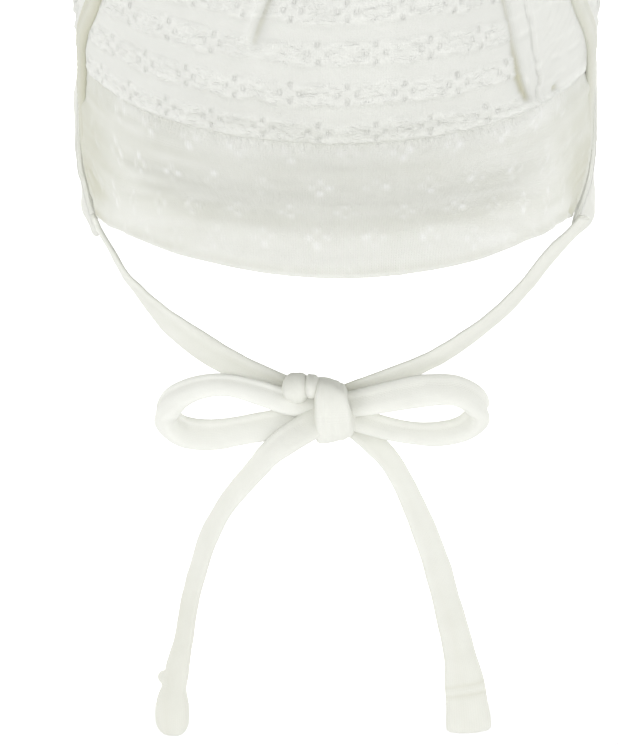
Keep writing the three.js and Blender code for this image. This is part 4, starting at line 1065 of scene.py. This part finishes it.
def flap_relief(w, d, to_edge, azimuth):
    motifs = visor_motifs(w, d)
    puckers = np.sin(2 * math.pi * (w / 1.6 + 0.35 * noise(w / 5.0, 2.0, 151))) * (0.6 + 0.4 * noise(w / 3.0, 5.0, 152))
    seam = 0.18 * puckers * np.exp(-d / 2.8)
    hang = np.sin(w / 11.5 + 1.2 * noise(w / 30.0, 1.0, 153)) * 0.9 * smooth(10, 50, d) * smooth(0, 22, np.abs(w - w[0:1]) * 0 + np.minimum(w - w[0:1], w[-1:] - w))
    waves = (0.6 * noise(w / 24.0, d / 16.0, 154) + 0.25 * noise(w / 10.0, d / 5.0, 155)) * smooth(0, 6, d)
    h = seam + 0.3 * motifs * smooth(0.5, 2.0, d) + waves + hang
    return h, waves * 0.8 + hang


lines = even_lines(flap_point, FLAP_START, 360 - FLAP_START, 0.5, 1.05)
loops, W, D = doubled_cloth(flap_point, lines, 50, FLAP_THICK, flap_relief)
points, faces, uv = loops_to_mesh(loops, W[:, 25])
painted_shading = np.zeros((len(lines), loops.shape[1]))
tufts = clamp(visor_motifs(W, D), 0, 1)
# painted highlights on the flap's lumps
painted_shading[:, :W.shape[1]] = -1.1 * tufts
# puckered strokes along the seam, as bump with painted highlights on their ridges
strokes = np.zeros_like(painted_shading)
strokes[:, :W.shape[1]] = 0.7 * np.exp(-D / 2.6)
flap_obj = place(mesh_object("neck_flap_cloth", points, faces, uv, doubled_mat, painted_shading=painted_shading.ravel(), crumple_and_shading=strokes.ravel()), "neck_flap", "doubled_jersey")


# ------------------------------------------------------------------ band over the sides
def band_path():
    seat = GAP + BAND["thick"] / 2
    z = np.linspace(BAND["low"], -3, 24)
    a = np.full_like(z, BAND["azimuth"])
    out = seam_out(a)
    low = seam_point(a) + out * SIDE_HANG.read("out", -z)[:, None]
    low[:, 2] = z
    low = low + out * (-1.2 + seat * smooth(-14, -3, z))[:, None]
    u_top = float(np.interp(BAND["arch_y"], CROWN.read("front", _u)[::-1], _u[::-1]))
    u = u_top * np.sin(np.linspace(0.03, 1, 90) * math.pi / 2)
    az = band_azimuth(u)
    normal = dome_normal(az, u)
    high = dome(az, u) + normal * (GAP + seat - 1.55)
    half, face = np.concatenate([low, high]), np.concatenate([out, normal])
    flip = np.array([-1.0, 1.0, 1.0])
    return np.concatenate([half, half[-2::-1] * flip]), np.concatenate([face, face[-2::-1] * flip])


def band_mesh():
    path, face = band_path()
    arc = np.concatenate([[0], np.cumsum(np.linalg.norm(np.diff(path, axis=0), axis=1))])
    n = int(arc[-1] / 0.8)
    at = np.linspace(0, arc[-1], n)
    middle = np.stack([np.interp(at, arc, path[:, i]) for i in range(3)], -1)
    out = np.stack([np.interp(at, arc, face[:, i]) for i in range(3)], -1)
    for _ in range(6):  # ease the polyline
        middle[1:-1] = 0.25 * middle[:-2] + 0.5 * middle[1:-1] + 0.25 * middle[2:]
        out[1:-1] = 0.25 * out[:-2] + 0.5 * out[1:-1] + 0.25 * out[2:]
    tangent = unit(np.gradient(middle, at, axis=0))
    out = unit(out - (out * tangent).sum(1)[:, None] * tangent)
    across = np.cross(tangent, out)
    m = 36
    theta = 2 * math.pi * (np.arange(m) + 0.5) / m
    c, s = np.cos(theta), np.sin(theta)
    a = np.sign(c) * np.abs(c) ** 0.7
    b = np.sign(s) * np.abs(s) ** 0.85
    v = at[:, None]
    A = 0.5 * BAND["width"] * (1 + 0.03 * noise(v / 9.0, 1.0, 161)) * a[None, :]
    T = 0.5 * BAND["thick"] * b[None, :]
    T = T * (1 - 0.34 * bell(A - 0.5 - 0.25 * noise(v / 8.0, 2.0, 162), 0.5))
    ribs = 0.09 * np.sin(2 * math.pi * (v / 1.5 + 0.3 * noise(v / 4.0, 3.0, 163))) * np.maximum(b, 0)[None, :]
    lift = 0.15 * noise(v / 8.0, A / 5.0, 164)
    loops = middle[:, None, :] + A[..., None] * across[:, None, :] + (T + ribs + lift)[..., None] * out[:, None, :]
    around = np.concatenate([[0], np.cumsum(np.linalg.norm(np.diff(loops[n // 2], axis=0), axis=1))])
    # painted shade: the band lies in its own shade at the sides, more so at the left, and deeper towards its edges
    shade = (1.25 - 0.3 * clamp(middle[:, 0] / 40, -1, 1)) * (1 - 0.8 * smooth(35, 65, middle[:, 2]))
    return loops_mesh(loops, at, np.repeat(around[None, :], n, 0)), arc[-1], (shade[:, None] * (0.72 + 0.5 * np.abs(a)[None, :])).ravel()


(points, faces, uv), band_length, painted_shading = band_mesh()
band_obj = place(mesh_object("seam_band_roll", points, faces, uv, band_mat, painted_shading=painted_shading), "seam_band", "band_jersey")


# ------------------------------------------------------------------ floor and light
def flat_material(name, colour, glow):
    """A plain matte sheet that is clear when it is seen from behind."""
    mat = bpy.data.materials.new(name)
    mat.use_nodes = True
    b = mat.node_tree.nodes["Principled BSDF"]
    b.inputs["Base Color"].default_value = (*colour, 1)
    b.inputs["Roughness"].default_value = 0.9
    b.inputs["Specular IOR Level"].default_value = 0.1
    b.inputs["Emission Color"].default_value = (1, 1, 1, 1)
    b.inputs["Emission Strength"].default_value = glow
    nt = mat.node_tree
    geometry, clear, both = (nt.nodes.new(kind) for kind in ("ShaderNodeNewGeometry", "ShaderNodeBsdfTransparent", "ShaderNodeMixShader"))
    nt.links.new(geometry.outputs["Backfacing"], both.inputs[0])
    nt.links.new(b.outputs["BSDF"], both.inputs[1])
    nt.links.new(clear.outputs["BSDF"], both.inputs[2])
    nt.links.new(both.outputs["Shader"], nt.nodes["Material Output"].inputs["Surface"])
    return mat


def plane(name, corners, material):
    mesh = bpy.data.meshes.new(name)
    mesh.from_pydata(corners, [], [(0, 1, 2, 3)])
    obj = bpy.data.objects.new(name, mesh)
    bpy.context.scene.collection.objects.link(obj)
    mesh.materials.append(material)


def make_stage():
    z, r = float(CAD_LOW[2]) - 0.26, 6.0
    plane("floor", [(-r, -r, z), (r, -r, z), (r, 0.5, z), (-r, 0.5, z)], flat_material("pale_floor", (0.76, 0.76, 0.76), 0.12))
    plane("backdrop", [(-r, 0.5, z), (r, 0.5, z), (r, 0.5, z + 5), (-r, 0.5, z + 5)], flat_material("white_backdrop", (0.9, 0.9, 0.9), 0.6))


def area_light(name, place_at, aim, size, power, colour=(1, 1, 1)):
    data = bpy.data.lights.new(name, "AREA")
    data.shape = "DISK"
    data.size = size
    data.energy = power
    data.color = colour
    light = bpy.data.objects.new(name, data)
    bpy.context.scene.collection.objects.link(light)
    light.location = place_at
    light.rotation_euler = (Vector(aim) - Vector(place_at)).to_track_quat("-Z", "Y").to_euler()


make_stage()
area_light("key_soft", (-0.12, -1.95, 0.66), (0, 0, -0.03), 0.7, 9.9)
area_light("left_soft", (-1.5, -1.15, 0.30), (0, 0, -0.03), 0.8, 4.8)
area_light("right_soft", (1.5, -1.15, 0.30), (0, 0, -0.03), 0.8, 5.4)

world = bpy.data.worlds.new("studio")
bpy.context.scene.world = world
world.use_nodes = True
world.node_tree.nodes["Background"].inputs["Color"].default_value = (1.0, 1.0, 1.0, 1)
world.node_tree.nodes["Background"].inputs["Strength"].default_value = 0.70
bpy.context.scene.view_settings.view_transform = "Standard"
bpy.context.scene.view_settings.look = "None"
